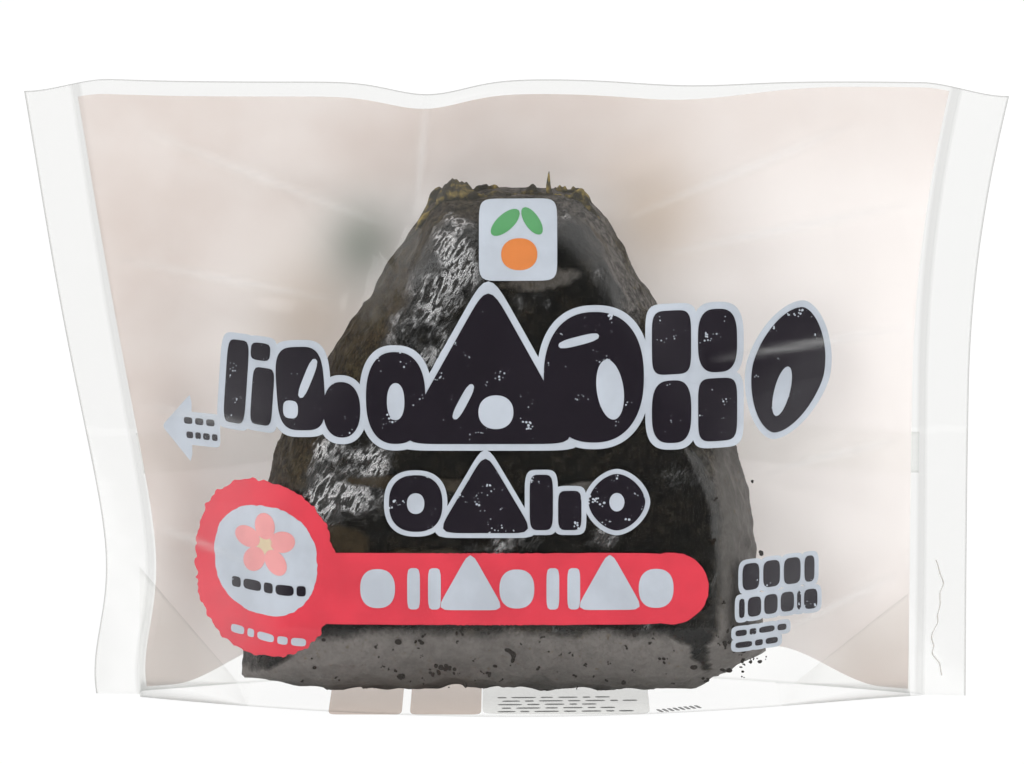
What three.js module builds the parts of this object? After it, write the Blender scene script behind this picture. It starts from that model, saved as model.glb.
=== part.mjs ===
// A large nori-wrapped rice ball sealed in a clear film pack that stands on its gusset base.
// Millimetres, +Z up, +X to the right of the printed front, which faces -Y.
// The origin is on the surface that the pack stands on, below the middle of its bounding box.
//
// The pack is one piece of film: a tube folded over at the top, overlapped in a flat seam across
// the back, tucked in as a gusset underneath and pressed flat into a clear seal at each end.
// Its shape is one depth function. The film lies on the flat face of the rice ball and runs
// from the edge of that face, like a tent, to the end seals and to the fold along the top.

import * as THREE from "three";

// Driving dimensions
const packHalfWidth = 85.3; // at the top, where the pack is widest
const packHeight = 109;
const filmHalf = 0.35; // half the thickness of the pressed seals and of the folded top edge
const sealShare = 0.052; // of the width, taken by each end seal
const crimpHalf = 0.12; // how far the pressed ridges of a seal stand out

const ballHalfDepth = 19.9; // of the film over the rice ball, where the ball is thickest
const ballBellyHeight = 16; // where that is
const ballTopHalfDepth = 15.2; // of the film at the height of the ball's top
const ballHeight = 91;
const faceInset = 6.5; // from the ball's outline to the edge of its flat face
const ballMiddle = -2; // x of the middle of the ball's base
const tentPower = 1.45; // how fast the film falls off beside the ball: 1 is a straight tent

const baseHalfDepth = 17; // of the pack's base, at the middle
const baseHalfLength = 74; // the arc of the base would end here
const tuckHeight = 16; // over this height the film widens from the base to the belly

const gussetHeight = 23; // of the tuck at the end seals
const gussetStart = 47; // distance from the middle where the tuck begins
const gussetWall = 0.55; // film and solid left on each side of the tuck

const seamLow = 39.5; // the flat seam across the back
const seamHigh = 47;
const seamRelief = 0.5;

const bodyColumns = 54;
const sealColumns = 4;
const bodyRows = 34;

// The rice ball's outline seen from the front: a big triangle with cut lower corners.
// Each side is the angle of its outward normal above the +X axis, in degrees, and its
// distance from the middle of the ball's base.
const ballSides = [
  { angle: 6.7, distance: 48.2 }, // lower right
  { angle: 30.5, distance: 59.5 }, // upper right
  { angle: 90, distance: ballHeight }, // top
  { angle: 147, distance: 59.6 }, // upper left
  { angle: 172.3, distance: 47.3 }, // lower left
];

// Creases that run out from the ball, as ends in x and z, height of the fold and its half width.
const frontCreases = [
  { from: [17, 85], to: [60, 102], height: 1.3, width: 4.5 },
  { from: [22, 79], to: [70, 88], height: -1.0, width: 4 },
  { from: [33, 62], to: [69, 66], height: 0.9, width: 5 },
  { from: [43, 42], to: [68, 46], height: -0.8, width: 4 },
  { from: [46, 14], to: [68, 22], height: 0.9, width: 4 },
  { from: [-17, 86], to: [-15, 108], height: -1.2, width: 4 },
  { from: [-20, 84], to: [-66, 101], height: 1.0, width: 5 },
  { from: [-29, 72], to: [-70, 78], height: -0.9, width: 4.5 },
  { from: [-42, 50], to: [-66, 52], height: 0.8, width: 4 },
  { from: [-46, 26], to: [-63, 30], height: -0.8, width: 3.5 },
];
const backCreases = [
  { from: [14, 88], to: [48, 104], height: -1.1, width: 4.5 },
  { from: [26, 72], to: [68, 80], height: 1.0, width: 5 },
  { from: [42, 36], to: [68, 34], height: 0.9, width: 4.5 },
  { from: [45, 12], to: [68, 12], height: -0.8, width: 4 },
  { from: [-4, 90], to: [-8, 107], height: 1.0, width: 5 },
  { from: [-18, 86], to: [-60, 103], height: -1.1, width: 5 },
  { from: [-34, 64], to: [-69, 66], height: 1.0, width: 4.5 },
  { from: [-47, 20], to: [-64, 24], height: 0.8, width: 4 },
];

const clamp = THREE.MathUtils.clamp;
const smooth = THREE.MathUtils.smoothstep;
const hill = (distance, width) => Math.exp(-((distance / width) ** 2));

// The outer edge of the left end seal. It leans out towards the top and flares at the foot.
function leftEdge(z) {
  const lean = 0.1676 * (packHeight - z);
  const flare = 6.9 * hill(z, 17);
  return -(packHalfWidth - lean + flare);
}

// The outer edge of the right end seal. It is upright, and leans out in its top half.
function rightEdge(z) {
  const bend = 55; // height where it starts to lean
  const reach = 5.7;
  const rise = (packHeight - bend) ** 2;
  return packHalfWidth - reach + (reach * Math.max(0, z - bend) ** 2) / rise;
}

// The folded top edge: two shallow dips, and a drop at both seals.
function topEdge(x) {
  const dips = 2.4 * hill(x + 15, 9) + 1.0 * hill(x - 30, 14);
  return packHeight - dips - 2.4 * smooth(Math.abs(x), 70, packHalfWidth);
}

// How far out a point lies in a shape given by its sides, as a share of the way to the
// outline: 1 on the outline. A power mean rounds the corners between the sides.
function gauge(ratios, power) {
  const sum = ratios.reduce((total, r) => total + Math.max(0, r) ** power, 0);
  return sum ** (1 / power);
}

function faceGauge(x, z) {
  const roundness = 20;
  const ratios = ballSides.map(({ angle, distance }) => {
    const a = THREE.MathUtils.degToRad(angle);
    return ((x - ballMiddle) * Math.cos(a) + z * Math.sin(a)) / (distance - faceInset);
  });
  return gauge(ratios, roundness);
}

function sealGauge(x, z) {
  const roundness = 10;
  const left = leftEdge(z);
  const width = rightEdge(z) - left;
  const sealLeft = left + sealShare * width;
  const sealRight = left + (1 - sealShare) * width;
  const right = (x - ballMiddle) / (sealRight - ballMiddle);
  return gauge([right, (x - ballMiddle) / (sealLeft - ballMiddle), z / topEdge(x)], roundness);
}

// 0 at the edge of the ball's face, 1 at the seals and the top fold, below 0 on the face.
function wayOut(x, z) {
  const face = Math.max(faceGauge(x, z), 1e-6);
  const seal = sealGauge(x, z);
  return (seal * (face - 1)) / Math.max(face - seal, 1e-6);
}

// A fall from 1 to 0 along the way out, rounded where the film bends off the face and flatter
// towards the seals, so that the ball's form stands out of the pack.
function tent(way) {
  const bend = 0.08;
  const ramp = (t) => (t + Math.hypot(t, bend)) / 2;
  return Math.max(0, 1 - ramp(way) / ramp(1)) ** tentPower;
}

// The film over the ball's face: it leans back above the belly, and falls off to both sides.
function faceDepth(x, z) {
  const lean = Math.max(0, z - ballBellyHeight) / (ballHeight - ballBellyHeight);
  const sideFall = 1.2 * ((x - ballMiddle) / 45) ** 2;
  return ballHalfDepth - (ballHalfDepth - ballTopHalfDepth) * lean ** 1.15 - sideFall;
}

// The plan of the base: a long arc from seal to seal.
function baseDepth(x) {
  return baseHalfDepth * Math.max(0, 1 - (x / baseHalfLength) ** 2) ** 1.25;
}

function crease({ from, to, height, width }, x, z) {
  const along = new THREE.Vector2(to[0] - from[0], to[1] - from[1]);
  const point = new THREE.Vector2(x - from[0], z - from[1]);
  const share = clamp(point.dot(along) / along.lengthSq(), 0, 1);
  const off = point.addScaledVector(along, -share).length();
  return height * hill(off, width * (0.5 + share)) * Math.sin(Math.PI * share) ** 0.5;
}

// How far the limp film stands out of its upright middle plane: the top fold wanders to and
// fro, and both end seals bow.
function sway(x, z) {
  const top = 2.0 * Math.sin(x / 17 + 0.8) * (z / packHeight) ** 3;
  const left = 3.2 * smooth(-x, 56, packHalfWidth) * Math.sin(z / 15 + 0.3);
  const right = 2.8 * smooth(x, 60, packHalfWidth) * Math.sin(z / 24 - 0.4);
  return top + left + right;
}

// Half the pack's thickness at a point of the front or the back.
function panelDepth(x, z, creases) {
  const way = wayOut(x, z);
  const open = clamp(way, 0, 1);
  const puff = 0.5 * Math.sin(Math.PI * open);
  const folds = creases.reduce((sum, c) => sum + crease(c, x, z), 0);
  const body = faceDepth(x, z) * tent(way) + puff + folds * Math.sin(Math.PI * open) ** 0.5;
  const tuck = clamp(1 - z / tuckHeight, 0, 1) ** 1.4;
  return Math.max(filmHalf, body + (baseDepth(x) - body) * tuck);
}

// Height of the gusset's ridge over the base, which climbs from the ball to each end seal.
function gussetRidge(x, u) {
  const sealX = u < 0.5 ? -66 : 75;
  const share = (Math.abs(x) - gussetStart) / (Math.abs(sealX) - gussetStart);
  return gussetHeight * clamp(share, 0, 1);
}

// The seam across the back stands out from seal to seal.
function seamAt(z) {
  const edge = 0.3;
  return seamRelief * smooth(z, seamLow - edge, seamLow) * (1 - smooth(z, seamHigh, seamHigh + edge));
}

// Shares of the width and of the height where the film's grid has its lines.
function columnShares() {
  const shares = [];
  for (let i = 0; i < sealColumns; i += 1) shares.push((sealShare * i) / sealColumns);
  for (let i = 0; i <= bodyColumns; i += 1) {
    shares.push(sealShare + ((1 - 2 * sealShare) * i) / bodyColumns);
  }
  for (let i = 1; i <= sealColumns; i += 1) shares.push(1 - sealShare + (sealShare * i) / sealColumns);
  return shares;
}

function rowShares() {
  const seamEdges = [seamLow - 0.3, seamLow, seamHigh, seamHigh + 0.3].map((z) => z / packHeight);
  const clear = 0.4 / bodyRows; // a plain row this near to a seam edge is left out
  const rows = [];
  for (let j = 0; j <= bodyRows; j += 1) rows.push((j / bodyRows) ** 1.1);
  const kept = rows.filter((v) => seamEdges.every((edge) => Math.abs(edge - v) > clear));
  return [...kept, ...seamEdges].sort((a, b) => a - b);
}

// One ring of the tube: up the front, down the back and home across the base.
function ringPoints(u, column, rows) {
  const inSeal = u < sealShare - 1e-9 || u > 1 - sealShare + 1e-9;
  const ridge = inSeal && column % 2 === 1 ? crimpHalf : 0;
  const place = (v) => {
    const z = v * packHeight;
    const x = leftEdge(z) + u * (rightEdge(z) - leftEdge(z));
    return [x, v * topEdge(x)];
  };
  const depthAt = (x, z, creases) => (inSeal ? filmHalf + ridge : panelDepth(x, z, creases));
  const front = rows.map((v) => {
    const [x, z] = place(v);
    return new THREE.Vector3(x, sway(x, z) - depthAt(x, z, frontCreases), z);
  });
  const back = rows.map((v) => {
    const [x, z] = place(v);
    return new THREE.Vector3(x, sway(x, z) + depthAt(x, z, backCreases) + seamAt(z), z);
  });
  const [footX] = place(0);
  const reach = depthAt(footX, 0, []);
  const inner = Math.max(reach - gussetWall, reach * 0.4);
  const peak = inSeal || reach < 2 * gussetWall ? 0 : gussetRidge(footX, u);
  const base = [1, 0.5, 0, -0.5, -1].map((share) => {
    return new THREE.Vector3(footX, sway(footX, 0) + share * inner, peak * (1 - Math.abs(share)));
  });
  return [...front, ...back.reverse(), ...base];
}

// The closed skin: quads between neighbouring rings, and a strip across each end.
function packGeometry() {
  const rows = rowShares();
  const rings = columnShares().map((u, column) => ringPoints(u, column, rows));
  const count = rings[0].length;
  const positions = rings.flat().flatMap((p) => [p.x, p.y, p.z]);
  const faces = [];
  const quad = (a, b, c, d) => faces.push(a, b, c, a, c, d);
  for (let i = 0; i + 1 < rings.length; i += 1) {
    for (let j = 0; j < count; j += 1) {
      const k = (j + 1) % count;
      quad(i * count + j, (i + 1) * count + j, (i + 1) * count + k, i * count + k);
    }
  }
  endCap(faces, 0, rows.length, count, false);
  endCap(faces, (rings.length - 1) * count, rows.length, count, true);
  const geometry = new THREE.BufferGeometry();
  geometry.setAttribute("position", new THREE.Float32BufferAttribute(positions, 3));
  geometry.setIndex(faces);
  geometry.computeVertexNormals();
  return geometry;
}

// Closes an end of the tube: front row to back row, then the points of the base.
function endCap(faces, first, rows, count, turned) {
  const triangle = (a, b, c) => faces.push(first + a, first + (turned ? c : b), first + (turned ? b : c));
  const backRow = (j) => 2 * rows - 1 - j;
  for (let j = 0; j + 1 < rows; j += 1) {
    triangle(j, j + 1, backRow(j + 1));
    triangle(j, backRow(j + 1), backRow(j));
  }
  for (let j = 2 * rows - 1; j + 1 < count; j += 1) triangle(0, j, j + 1);
}

function makePack() {
  const film = new THREE.MeshStandardMaterial({ color: 0xe2dad6, roughness: 0.18, metalness: 0 });
  const mesh = new THREE.Mesh(packGeometry(), film);
  mesh.name = "sealed_pack";
  return mesh;
}

const group = new THREE.Group();
group.add(makePack());

export default group;
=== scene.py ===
"""Looks of a clear film pack that holds a large nori-wrapped rice ball.

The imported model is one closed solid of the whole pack. This script replaces it with a thin
clear film, the prints inside that film and the rice ball, and stands the pack on a pale floor
in soft studio light. Shapes are worked out in millimetres and go into the meshes in metres.
"""

import logging
import math
from dataclasses import dataclass
from enum import Enum

import bpy
import numpy as np
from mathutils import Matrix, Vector


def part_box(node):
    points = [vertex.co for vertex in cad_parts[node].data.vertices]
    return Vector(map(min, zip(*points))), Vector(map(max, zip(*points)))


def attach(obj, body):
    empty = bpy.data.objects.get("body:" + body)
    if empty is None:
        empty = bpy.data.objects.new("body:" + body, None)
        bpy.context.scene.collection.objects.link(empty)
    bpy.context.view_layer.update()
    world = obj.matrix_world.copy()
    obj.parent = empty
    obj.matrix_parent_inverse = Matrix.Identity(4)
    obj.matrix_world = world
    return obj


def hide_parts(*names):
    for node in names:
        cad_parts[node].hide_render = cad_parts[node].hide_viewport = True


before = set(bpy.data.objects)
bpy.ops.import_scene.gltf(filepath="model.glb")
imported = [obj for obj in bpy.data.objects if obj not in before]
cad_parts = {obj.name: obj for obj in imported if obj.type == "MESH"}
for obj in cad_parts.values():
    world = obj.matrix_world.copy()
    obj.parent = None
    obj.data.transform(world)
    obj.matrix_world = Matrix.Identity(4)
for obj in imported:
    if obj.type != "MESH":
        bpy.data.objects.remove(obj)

LOG = logging.getLogger("rice_ball_pack")
PACK_NODE = "sealed_pack"
BODY = "root"
MM = 0.001
Array = np.ndarray
Colour = tuple[float, float, float]
Material = bpy.types.Material
Piece = bpy.types.Object
Socket = bpy.types.NodeSocket
Tree = bpy.types.ShaderNodeTree


class Slot(Enum):
    """Material slots of the record, passed along with the pieces but read by no code."""

    FILM = "clear_film"
    BACK_PRINT = "back_print"
    NORI = "nori"
    NORI_EDGE = "nori_edge"
    INK_PALE = "ink_pale"
    INK_DARK = "ink_dark"
    INK_RED = "ink_red"
    INK_ACCENT = "ink_accent"


class Side(Enum):
    """The two panels of the pack. The value is the sign of Y that a panel faces."""

    FRONT = -1
    BACK = 1


def smooth(value: Array, low: float, high: float) -> Array:
    """Return a smooth step: 0 below low, 1 above high and 3t^2 - 2t^3 between.

    Args:
        value: Numbers to map.
        low: Value where the step starts.
        high: Value where the step ends.

    Returns:
        The step at each value.
    """
    t = np.clip((value - low) / (high - low), 0.0, 1.0)
    return t * t * (3.0 - 2.0 * t)


def hill(distance: Array, width: float) -> Array:
    """Return the bell exp(-(distance / width)^2)."""
    return np.exp(-((distance / width) ** 2))


@dataclass(frozen=True)
class Noise:
    """Seeded smooth noise in space.

    Random numbers from -1 to 1 stand on a cubic lattice that repeats. A point takes the mean
    of the eight numbers around it, weighted by smooth steps of its place in the cell.
    """

    seed: int
    cell: float
    period: int = 40

    def at(self, x: Array, y: Array, z: Array) -> Array:
        """Return the noise at points.

        Args:
            x: Places along the pack, in millimetres.
            y: Places in depth.
            z: Heights.

        Returns:
            The noise, from -1 to 1.
        """
        table = np.random.default_rng(self.seed).uniform(-1.0, 1.0, (self.period,) * 3)
        coords = [c / self.cell for c in np.broadcast_arrays(x, y, z)]
        floors = [np.floor(c) for c in coords]
        steps = [(c - f) ** 2 * (3.0 - 2.0 * (c - f)) for c, f in zip(coords, floors)]
        total = np.zeros(coords[0].shape)
        for corner in np.ndindex(2, 2, 2):
            weight = np.ones(coords[0].shape)
            index = []
            for axis, bit in enumerate(corner):
                weight = weight * (steps[axis] if bit else 1.0 - steps[axis])
                index.append((floors[axis].astype(int) + bit) % self.period)
            total += weight * table[tuple(index)]
        return total

    def ridges(self, x: Array, y: Array, z: Array) -> Array:
        """Return sharp crests: 1 where the noise is 0, falling to 0 at its extremes."""
        return 1.0 - np.abs(self.at(x, y, z))


@dataclass(frozen=True)
class Crease:
    """A fold of the film between two points of a panel, in x and z."""

    start: tuple[float, float]
    end: tuple[float, float]
    height: float
    width: float

    def measure(self, x: Array, z: Array) -> tuple[Array, Array]:
        """Measure points against the fold: their foot on its line, cut off at its ends.

        Args:
            x: Places along the pack.
            z: Heights.

        Returns:
            The share of the way along the fold, and the distance from it.
        """
        along = np.subtract(self.end, self.start)
        dx = x - self.start[0]
        dz = z - self.start[1]
        share = np.clip((dx * along[0] + dz * along[1]) / along.dot(along), 0.0, 1.0)
        return share, np.hypot(dx - share * along[0], dz - share * along[1])

    def relief(self, x: Array, z: Array) -> Array:
        """Return the fold's height: a bell across it that widens and fades along it."""
        share, off = self.measure(x, z)
        return self.height * hill(off, self.width * (0.5 + share)) * np.sin(math.pi * share) ** 0.5

    def crease_highlight(self, x: Array, z: Array) -> Array:
        """Return a painted highlight: 1 on the fold's line, falling to 0 beside it and at both ends."""
        share, off = self.measure(x, z)
        return hill(off, 0.45 + 0.5 * share) * np.sin(math.pi * share)


FRONT_CREASES = (
    Crease((17, 85), (60, 102), 1.3, 4.5),
    Crease((22, 79), (70, 88), -1.0, 4),
    Crease((33, 62), (69, 66), 0.9, 5),
    Crease((43, 42), (68, 46), -0.8, 4),
    Crease((46, 14), (68, 22), 0.9, 4),
    Crease((-17, 86), (-15, 108), -1.2, 4),
    Crease((-20, 84), (-66, 101), 1.0, 5),
    Crease((-29, 72), (-70, 78), -0.9, 4.5),
    Crease((-42, 50), (-66, 52), 0.8, 4),
    Crease((-46, 26), (-63, 30), -0.8, 3.5),
)
BACK_CREASES = (
    Crease((14, 88), (48, 104), -1.1, 4.5),
    Crease((26, 72), (68, 80), 1.0, 5),
    Crease((42, 36), (68, 34), 0.9, 4.5),
    Crease((45, 12), (68, 12), -0.8, 4),
    Crease((-4, 90), (-8, 107), 1.0, 5),
    Crease((-18, 86), (-60, 103), -1.1, 5),
    Crease((-34, 64), (-69, 66), 1.0, 4.5),
    Crease((-47, 20), (-64, 24), 0.8, 4),
)


@dataclass(frozen=True)
class BallOutline:
    """The rice ball seen from the front: a big triangle with cut lower corners.

    Each side is the angle of its outward normal above +X in degrees and its distance from
    the middle of the ball's base. A power mean of the sides rounds the corners.
    """

    middle: float = -2.0
    height: float = 91.0
    sides: tuple[tuple[float, float], ...] = (
        (6.7, 48.2),
        (30.5, 59.5),
        (90.0, 91.0),
        (147.0, 59.6),
        (172.3, 47.3),
    )

    def gauge(self, x: Array, z: Array, inset: float, roundness: float = 20.0) -> Array:
        """Return how far out points lie: 1 on the outline pulled in by inset.

        Args:
            x: Places along the pack.
            z: Heights.
            inset: Distance that every side is pulled in by.
            roundness: Power of the mean. A higher one gives sharper corners.

        Returns:
            The share of the way from the middle of the base to the outline.
        """
        total = np.zeros(np.broadcast(x, z).shape)
        for angle, distance in self.sides:
            a = math.radians(angle)
            ratio = ((x - self.middle) * math.cos(a) + z * math.sin(a)) / (distance - inset)
            total = total + np.maximum(ratio, 0.0) ** roundness
        return total ** (1.0 / roundness)


@dataclass(frozen=True)
class PackForm:
    """The film pack's form as one depth function over x and z, in millimetres.

    The film lies on the flat face of the rice ball and runs from the edge of that face, like
    a tent, to the end seals and to the fold along the top. The base is a long arc in plan,
    and a gusset is tucked in at both of its ends.
    """

    half_width: float
    height: float
    outline: BallOutline = BallOutline()
    seal_share: float = 0.052
    film_half: float = 0.12
    crimp_half: float = 0.10
    ball_half_depth: float = 19.9
    belly_height: float = 16.0
    top_half_depth: float = 15.2
    face_inset: float = 6.5
    tent_power: float = 1.45
    left_lean: float = 0.1676
    left_flare: float = 6.9
    flare_height: float = 17.0
    right_bend: float = 55.0
    right_reach: float = 5.7
    top_dips: tuple[tuple[float, float, float], ...] = ((-15.0, 2.4, 9.0), (30.0, 1.0, 14.0))
    end_drop: float = 2.4
    end_start: float = 70.0
    seal_power: float = 10.0
    side_fall: float = 1.2
    side_reach: float = 45.0
    lean_power: float = 1.15
    tent_bend: float = 0.08
    puff: float = 0.5
    base_half_depth: float = 17.0
    base_half_length: float = 74.0
    base_power: float = 1.25
    tuck_height: float = 16.0
    tuck_power: float = 1.4
    gusset_height: float = 23.0
    gusset_start: float = 47.0
    gusset_wall: float = 0.55
    seam_low: float = 39.5
    seam_high: float = 47.0
    seam_relief: float = 0.5
    seam_edge: float = 0.3
    fan_relief: float = 0.42
    slack_relief: float = 0.30
    cling_relief: float = 0.07

    def left_edge(self, z: Array) -> Array:
        """Return x of the left seal's outer edge, which leans out upwards and flares low."""
        flare = self.left_flare * hill(z, self.flare_height)
        return -(self.half_width - self.left_lean * (self.height - z) + flare)

    def right_edge(self, z: Array) -> Array:
        """Return x of the right seal's outer edge: upright, then a parabola outwards.

        Args:
            z: Heights.

        Returns:
            The edge's x at each height.
        """
        upright = self.half_width - self.right_reach
        rise = (self.height - self.right_bend) ** 2
        return upright + self.right_reach * np.maximum(0.0, z - self.right_bend) ** 2 / rise

    def top_edge(self, x: Array) -> Array:
        """Return the height of the fold along the top, with its dips and its end drops."""
        dips = sum(drop * hill(x - place, width) for place, drop, width in self.top_dips)
        return self.height - dips - self.end_drop * smooth(np.abs(x), self.end_start, self.half_width)

    def way_out(self, x: Array, z: Array) -> Array:
        """Return how far out on the loose film points lie.

        It compares the gauge of the ball's face with a power mean of the shares of the way to
        both seals and to the top.

        Args:
            x: Places along the pack.
            z: Heights.

        Returns:
            0 at the edge of the ball's face, 1 at the seals and the top, below 0 on the face.
        """
        face = np.maximum(self.outline.gauge(x, z, self.face_inset), 1e-6)
        left = self.left_edge(z)
        width = self.right_edge(z) - left
        middle = self.outline.middle
        right_ratio = (x - middle) / (left + (1.0 - self.seal_share) * width - middle)
        left_ratio = (x - middle) / (left + self.seal_share * width - middle)
        ratios = (right_ratio, left_ratio, z / self.top_edge(x))
        power = self.seal_power
        seal = sum(np.maximum(ratio, 0.0) ** power for ratio in ratios) ** (1.0 / power)
        return seal * (face - 1.0) / np.maximum(face - seal, 1e-6)

    def face_depth(self, x: Array, z: Array) -> Array:
        """Return the film's depth over the ball's face, which leans back above the belly.

        Args:
            x: Places along the pack.
            z: Heights.

        Returns:
            The distance from the middle plane.
        """
        rise = self.outline.height - self.belly_height
        lean = np.maximum(0.0, z - self.belly_height) / rise
        side_fall = self.side_fall * ((x - self.outline.middle) / self.side_reach) ** 2
        fall = (self.ball_half_depth - self.top_half_depth) * lean**self.lean_power
        return self.ball_half_depth - fall - side_fall

    def base_depth(self, x: Array) -> Array:
        """Return half the base's depth: a long arc from seal to seal."""
        arc = np.maximum(0.0, 1.0 - (x / self.base_half_length) ** 2)
        return self.base_half_depth * arc**self.base_power

    def sway(self, x: Array, z: Array) -> Array:
        """Return how far the limp film stands out of its middle plane.

        The top waves along the pack, more so higher up, and each end waves up its seal.

        Args:
            x: Places along the pack.
            z: Heights.

        Returns:
            The middle plane's y at each point.
        """
        top = 2.0 * np.sin(x / 17.0 + 0.8) * (z / self.height) ** 3
        left = 3.2 * smooth(-x, 56.0, self.half_width) * np.sin(z / 15.0 + 0.3)
        right = 2.8 * smooth(x, 60.0, self.half_width) * np.sin(z / 24.0 - 0.4)
        return top + left + right

    def small_folds(self, x: Array, z: Array, side: Side, way: Array) -> Array:
        """Return the loose film's small folds and the crinkle where it clings to the ball.

        The folds fan out from the ball: noise on a circle around it gives each direction its
        own crest, so the crests run outwards. Slack is a softer noise, drawn out upwards.
        Cling is a fine noise on the ball's face only.

        Args:
            x: Places along the pack.
            z: Heights.
            side: The front or the back panel.
            way: How far out the points lie, from way_out.

        Returns:
            The folds' height outwards.
        """
        open_share = np.clip(way, 0.0, 1.0)
        dx = x - self.outline.middle
        dz = z - 40.0
        reach = np.hypot(dx, dz) + 1e-6
        fan = Noise(11, 1.0).ridges(5.5 * dx / reach, 5.5 * dz / reach, reach / 45.0 + side.value)
        slack = Noise(12, 9.0).at(x, 30.0 * side.value, z / 1.6)
        cling = Noise(13, 4.5).at(x + z * 0.4, 9.0 * side.value, z)
        fine = Noise(14, 1.9).at(x - z * 0.3, 5.0 * side.value, z * 0.6)
        loose = np.sin(math.pi * open_share) ** 0.7
        held = 1.0 - smooth(way, -0.04, 0.12)
        crests = self.fan_relief * (fan**3 - 0.45)
        return loose * (crests + self.slack_relief * slack) - held * self.cling_relief * (
            np.abs(cling) + 0.5 * np.abs(fine)
        )

    def depth(self, x: Array, z: Array, side: Side) -> Array:
        """Return half the pack's thickness at points of a panel.

        It is the face's depth times a tent, plus a slight puff, the creases and the small
        folds, and it eases into the base over the tuck height.

        Args:
            x: Places along the pack.
            z: Heights.
            side: The front or the back panel.

        Returns:
            The distance from the middle plane to the film.
        """
        way = self.way_out(x, z)
        open_share = np.clip(way, 0.0, 1.0)
        ramp = (way + np.hypot(way, self.tent_bend)) / 2.0
        full = (1.0 + math.hypot(1.0, self.tent_bend)) / 2.0
        tent = np.maximum(0.0, 1.0 - ramp / full) ** self.tent_power
        puff = self.puff * np.sin(math.pi * open_share)
        creases = FRONT_CREASES if side is Side.FRONT else BACK_CREASES
        folds = sum(crease.relief(x, z) for crease in creases)
        body = self.face_depth(x, z) * tent + puff + folds * np.sin(math.pi * open_share) ** 0.5
        body = body + self.small_folds(x, z, side, way)
        tuck = np.clip(1.0 - z / self.tuck_height, 0.0, 1.0) ** self.tuck_power
        return np.maximum(self.film_half, body + (self.base_depth(x) - body) * tuck)

    def seam(self, z: Array) -> Array:
        """Return the relief of the flat seam across the back: a step up and a step down.

        Args:
            z: Heights.

        Returns:
            The seam's height outwards.
        """
        rise = smooth(z, self.seam_low - self.seam_edge, self.seam_low)
        fall = smooth(z, self.seam_high, self.seam_high + self.seam_edge)
        return self.seam_relief * rise * (1.0 - fall)

    def panel(self, x: Array, z: Array, side: Side, inside: float = 0.0) -> Array:
        """Return y of a panel of the film.

        Args:
            x: Places along the pack.
            z: Heights.
            side: The front or the back panel.
            inside: Distance inwards from the film.

        Returns:
            The panel's y at each point.
        """
        out = self.depth(x, z, side) - inside
        if side is Side.BACK:
            out = out + self.seam(z)
        return self.sway(x, z) + side.value * out

    def across(self, u: Array, v: Array) -> tuple[Array, Array]:
        """Return points given by their shares of the width and of the height.

        Args:
            u: Shares of the way from the left edge to the right one.
            v: Shares of the way from the base to the top edge.

        Returns:
            The points' x and z.
        """
        z = v * self.height
        x = self.left_edge(z) + u * (self.right_edge(z) - self.left_edge(z))
        return x, v * self.top_edge(x)


def grid_quads(rows: int, columns: int, wrap_rows: bool, wrap_columns: bool) -> Array:
    """Return the quads of a grid of points.

    Args:
        rows: Number of rows of points.
        columns: Number of points in a row.
        wrap_rows: Whether the last row joins the first.
        wrap_columns: Whether the last point of a row joins its first.

    Returns:
        Four point numbers for each quad.
    """
    r, c = np.meshgrid(
        np.arange(rows if wrap_rows else rows - 1),
        np.arange(columns if wrap_columns else columns - 1),
        indexing="ij",
    )
    r_next = (r + 1) % rows
    c_next = (c + 1) % columns
    corners = (r * columns + c, r_next * columns + c, r_next * columns + c_next, r * columns + c_next)
    return np.stack(corners, axis=-1).reshape(-1, 4)


def build_piece(name: str, points: Array, faces: list[Array], material: Material, slot: Slot,
                masks: dict[str, Array] | None = None) -> Piece:
    """Make a finished piece of the pack.

    Args:
        name: The piece's name.
        points: Points in millimetres, one a row.
        faces: Arrays of faces, each of faces with the same number of corners.
        material: The piece's material.
        slot: The record's material slot. Not used.
        masks: Numbers for each point, by name, for the material to read.

    Returns:
        The piece, which rides on the pack's body and replaces its solid.
    """
    mesh = bpy.data.meshes.new(name)
    corners = [face for group in faces for face in group.tolist()]
    mesh.from_pydata((points * MM).tolist(), [], corners)
    mesh.polygons.foreach_set("use_smooth", [True] * len(mesh.polygons))
    mesh.materials.append(material)
    mesh.update()
    for mask, values in (masks or {}).items():
        layer = mesh.attributes.new(mask, "FLOAT", "POINT")
        layer.data.foreach_set("value", values.ravel().astype(np.float32))
    piece = bpy.data.objects.new(name, mesh)
    bpy.context.scene.collection.objects.link(piece)
    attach(piece, BODY)
    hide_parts(PACK_NODE)
    LOG.info("%s: %d faces", name, len(mesh.polygons))
    return piece


def build_sheet(name: str, grids: tuple[Array, Array, Array], material: Material, slot: Slot,
                masks: dict[str, Array] | None = None) -> Piece:
    """Make an open sheet from a grid of points.

    Args:
        name: The piece's name.
        grids: The points' x, y and z, which broadcast to one grid.
        material: The piece's material.
        slot: The record's material slot, passed on to build_piece. Not used.
        masks: Numbers for each point, by name, for the material to read.

    Returns:
        The piece.
    """
    points = np.stack(np.broadcast_arrays(*grids), axis=-1)
    quads = grid_quads(*points.shape[:2], False, False)
    return build_piece(name, points.reshape(-1, 3), [quads], material, slot, masks)


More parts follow.
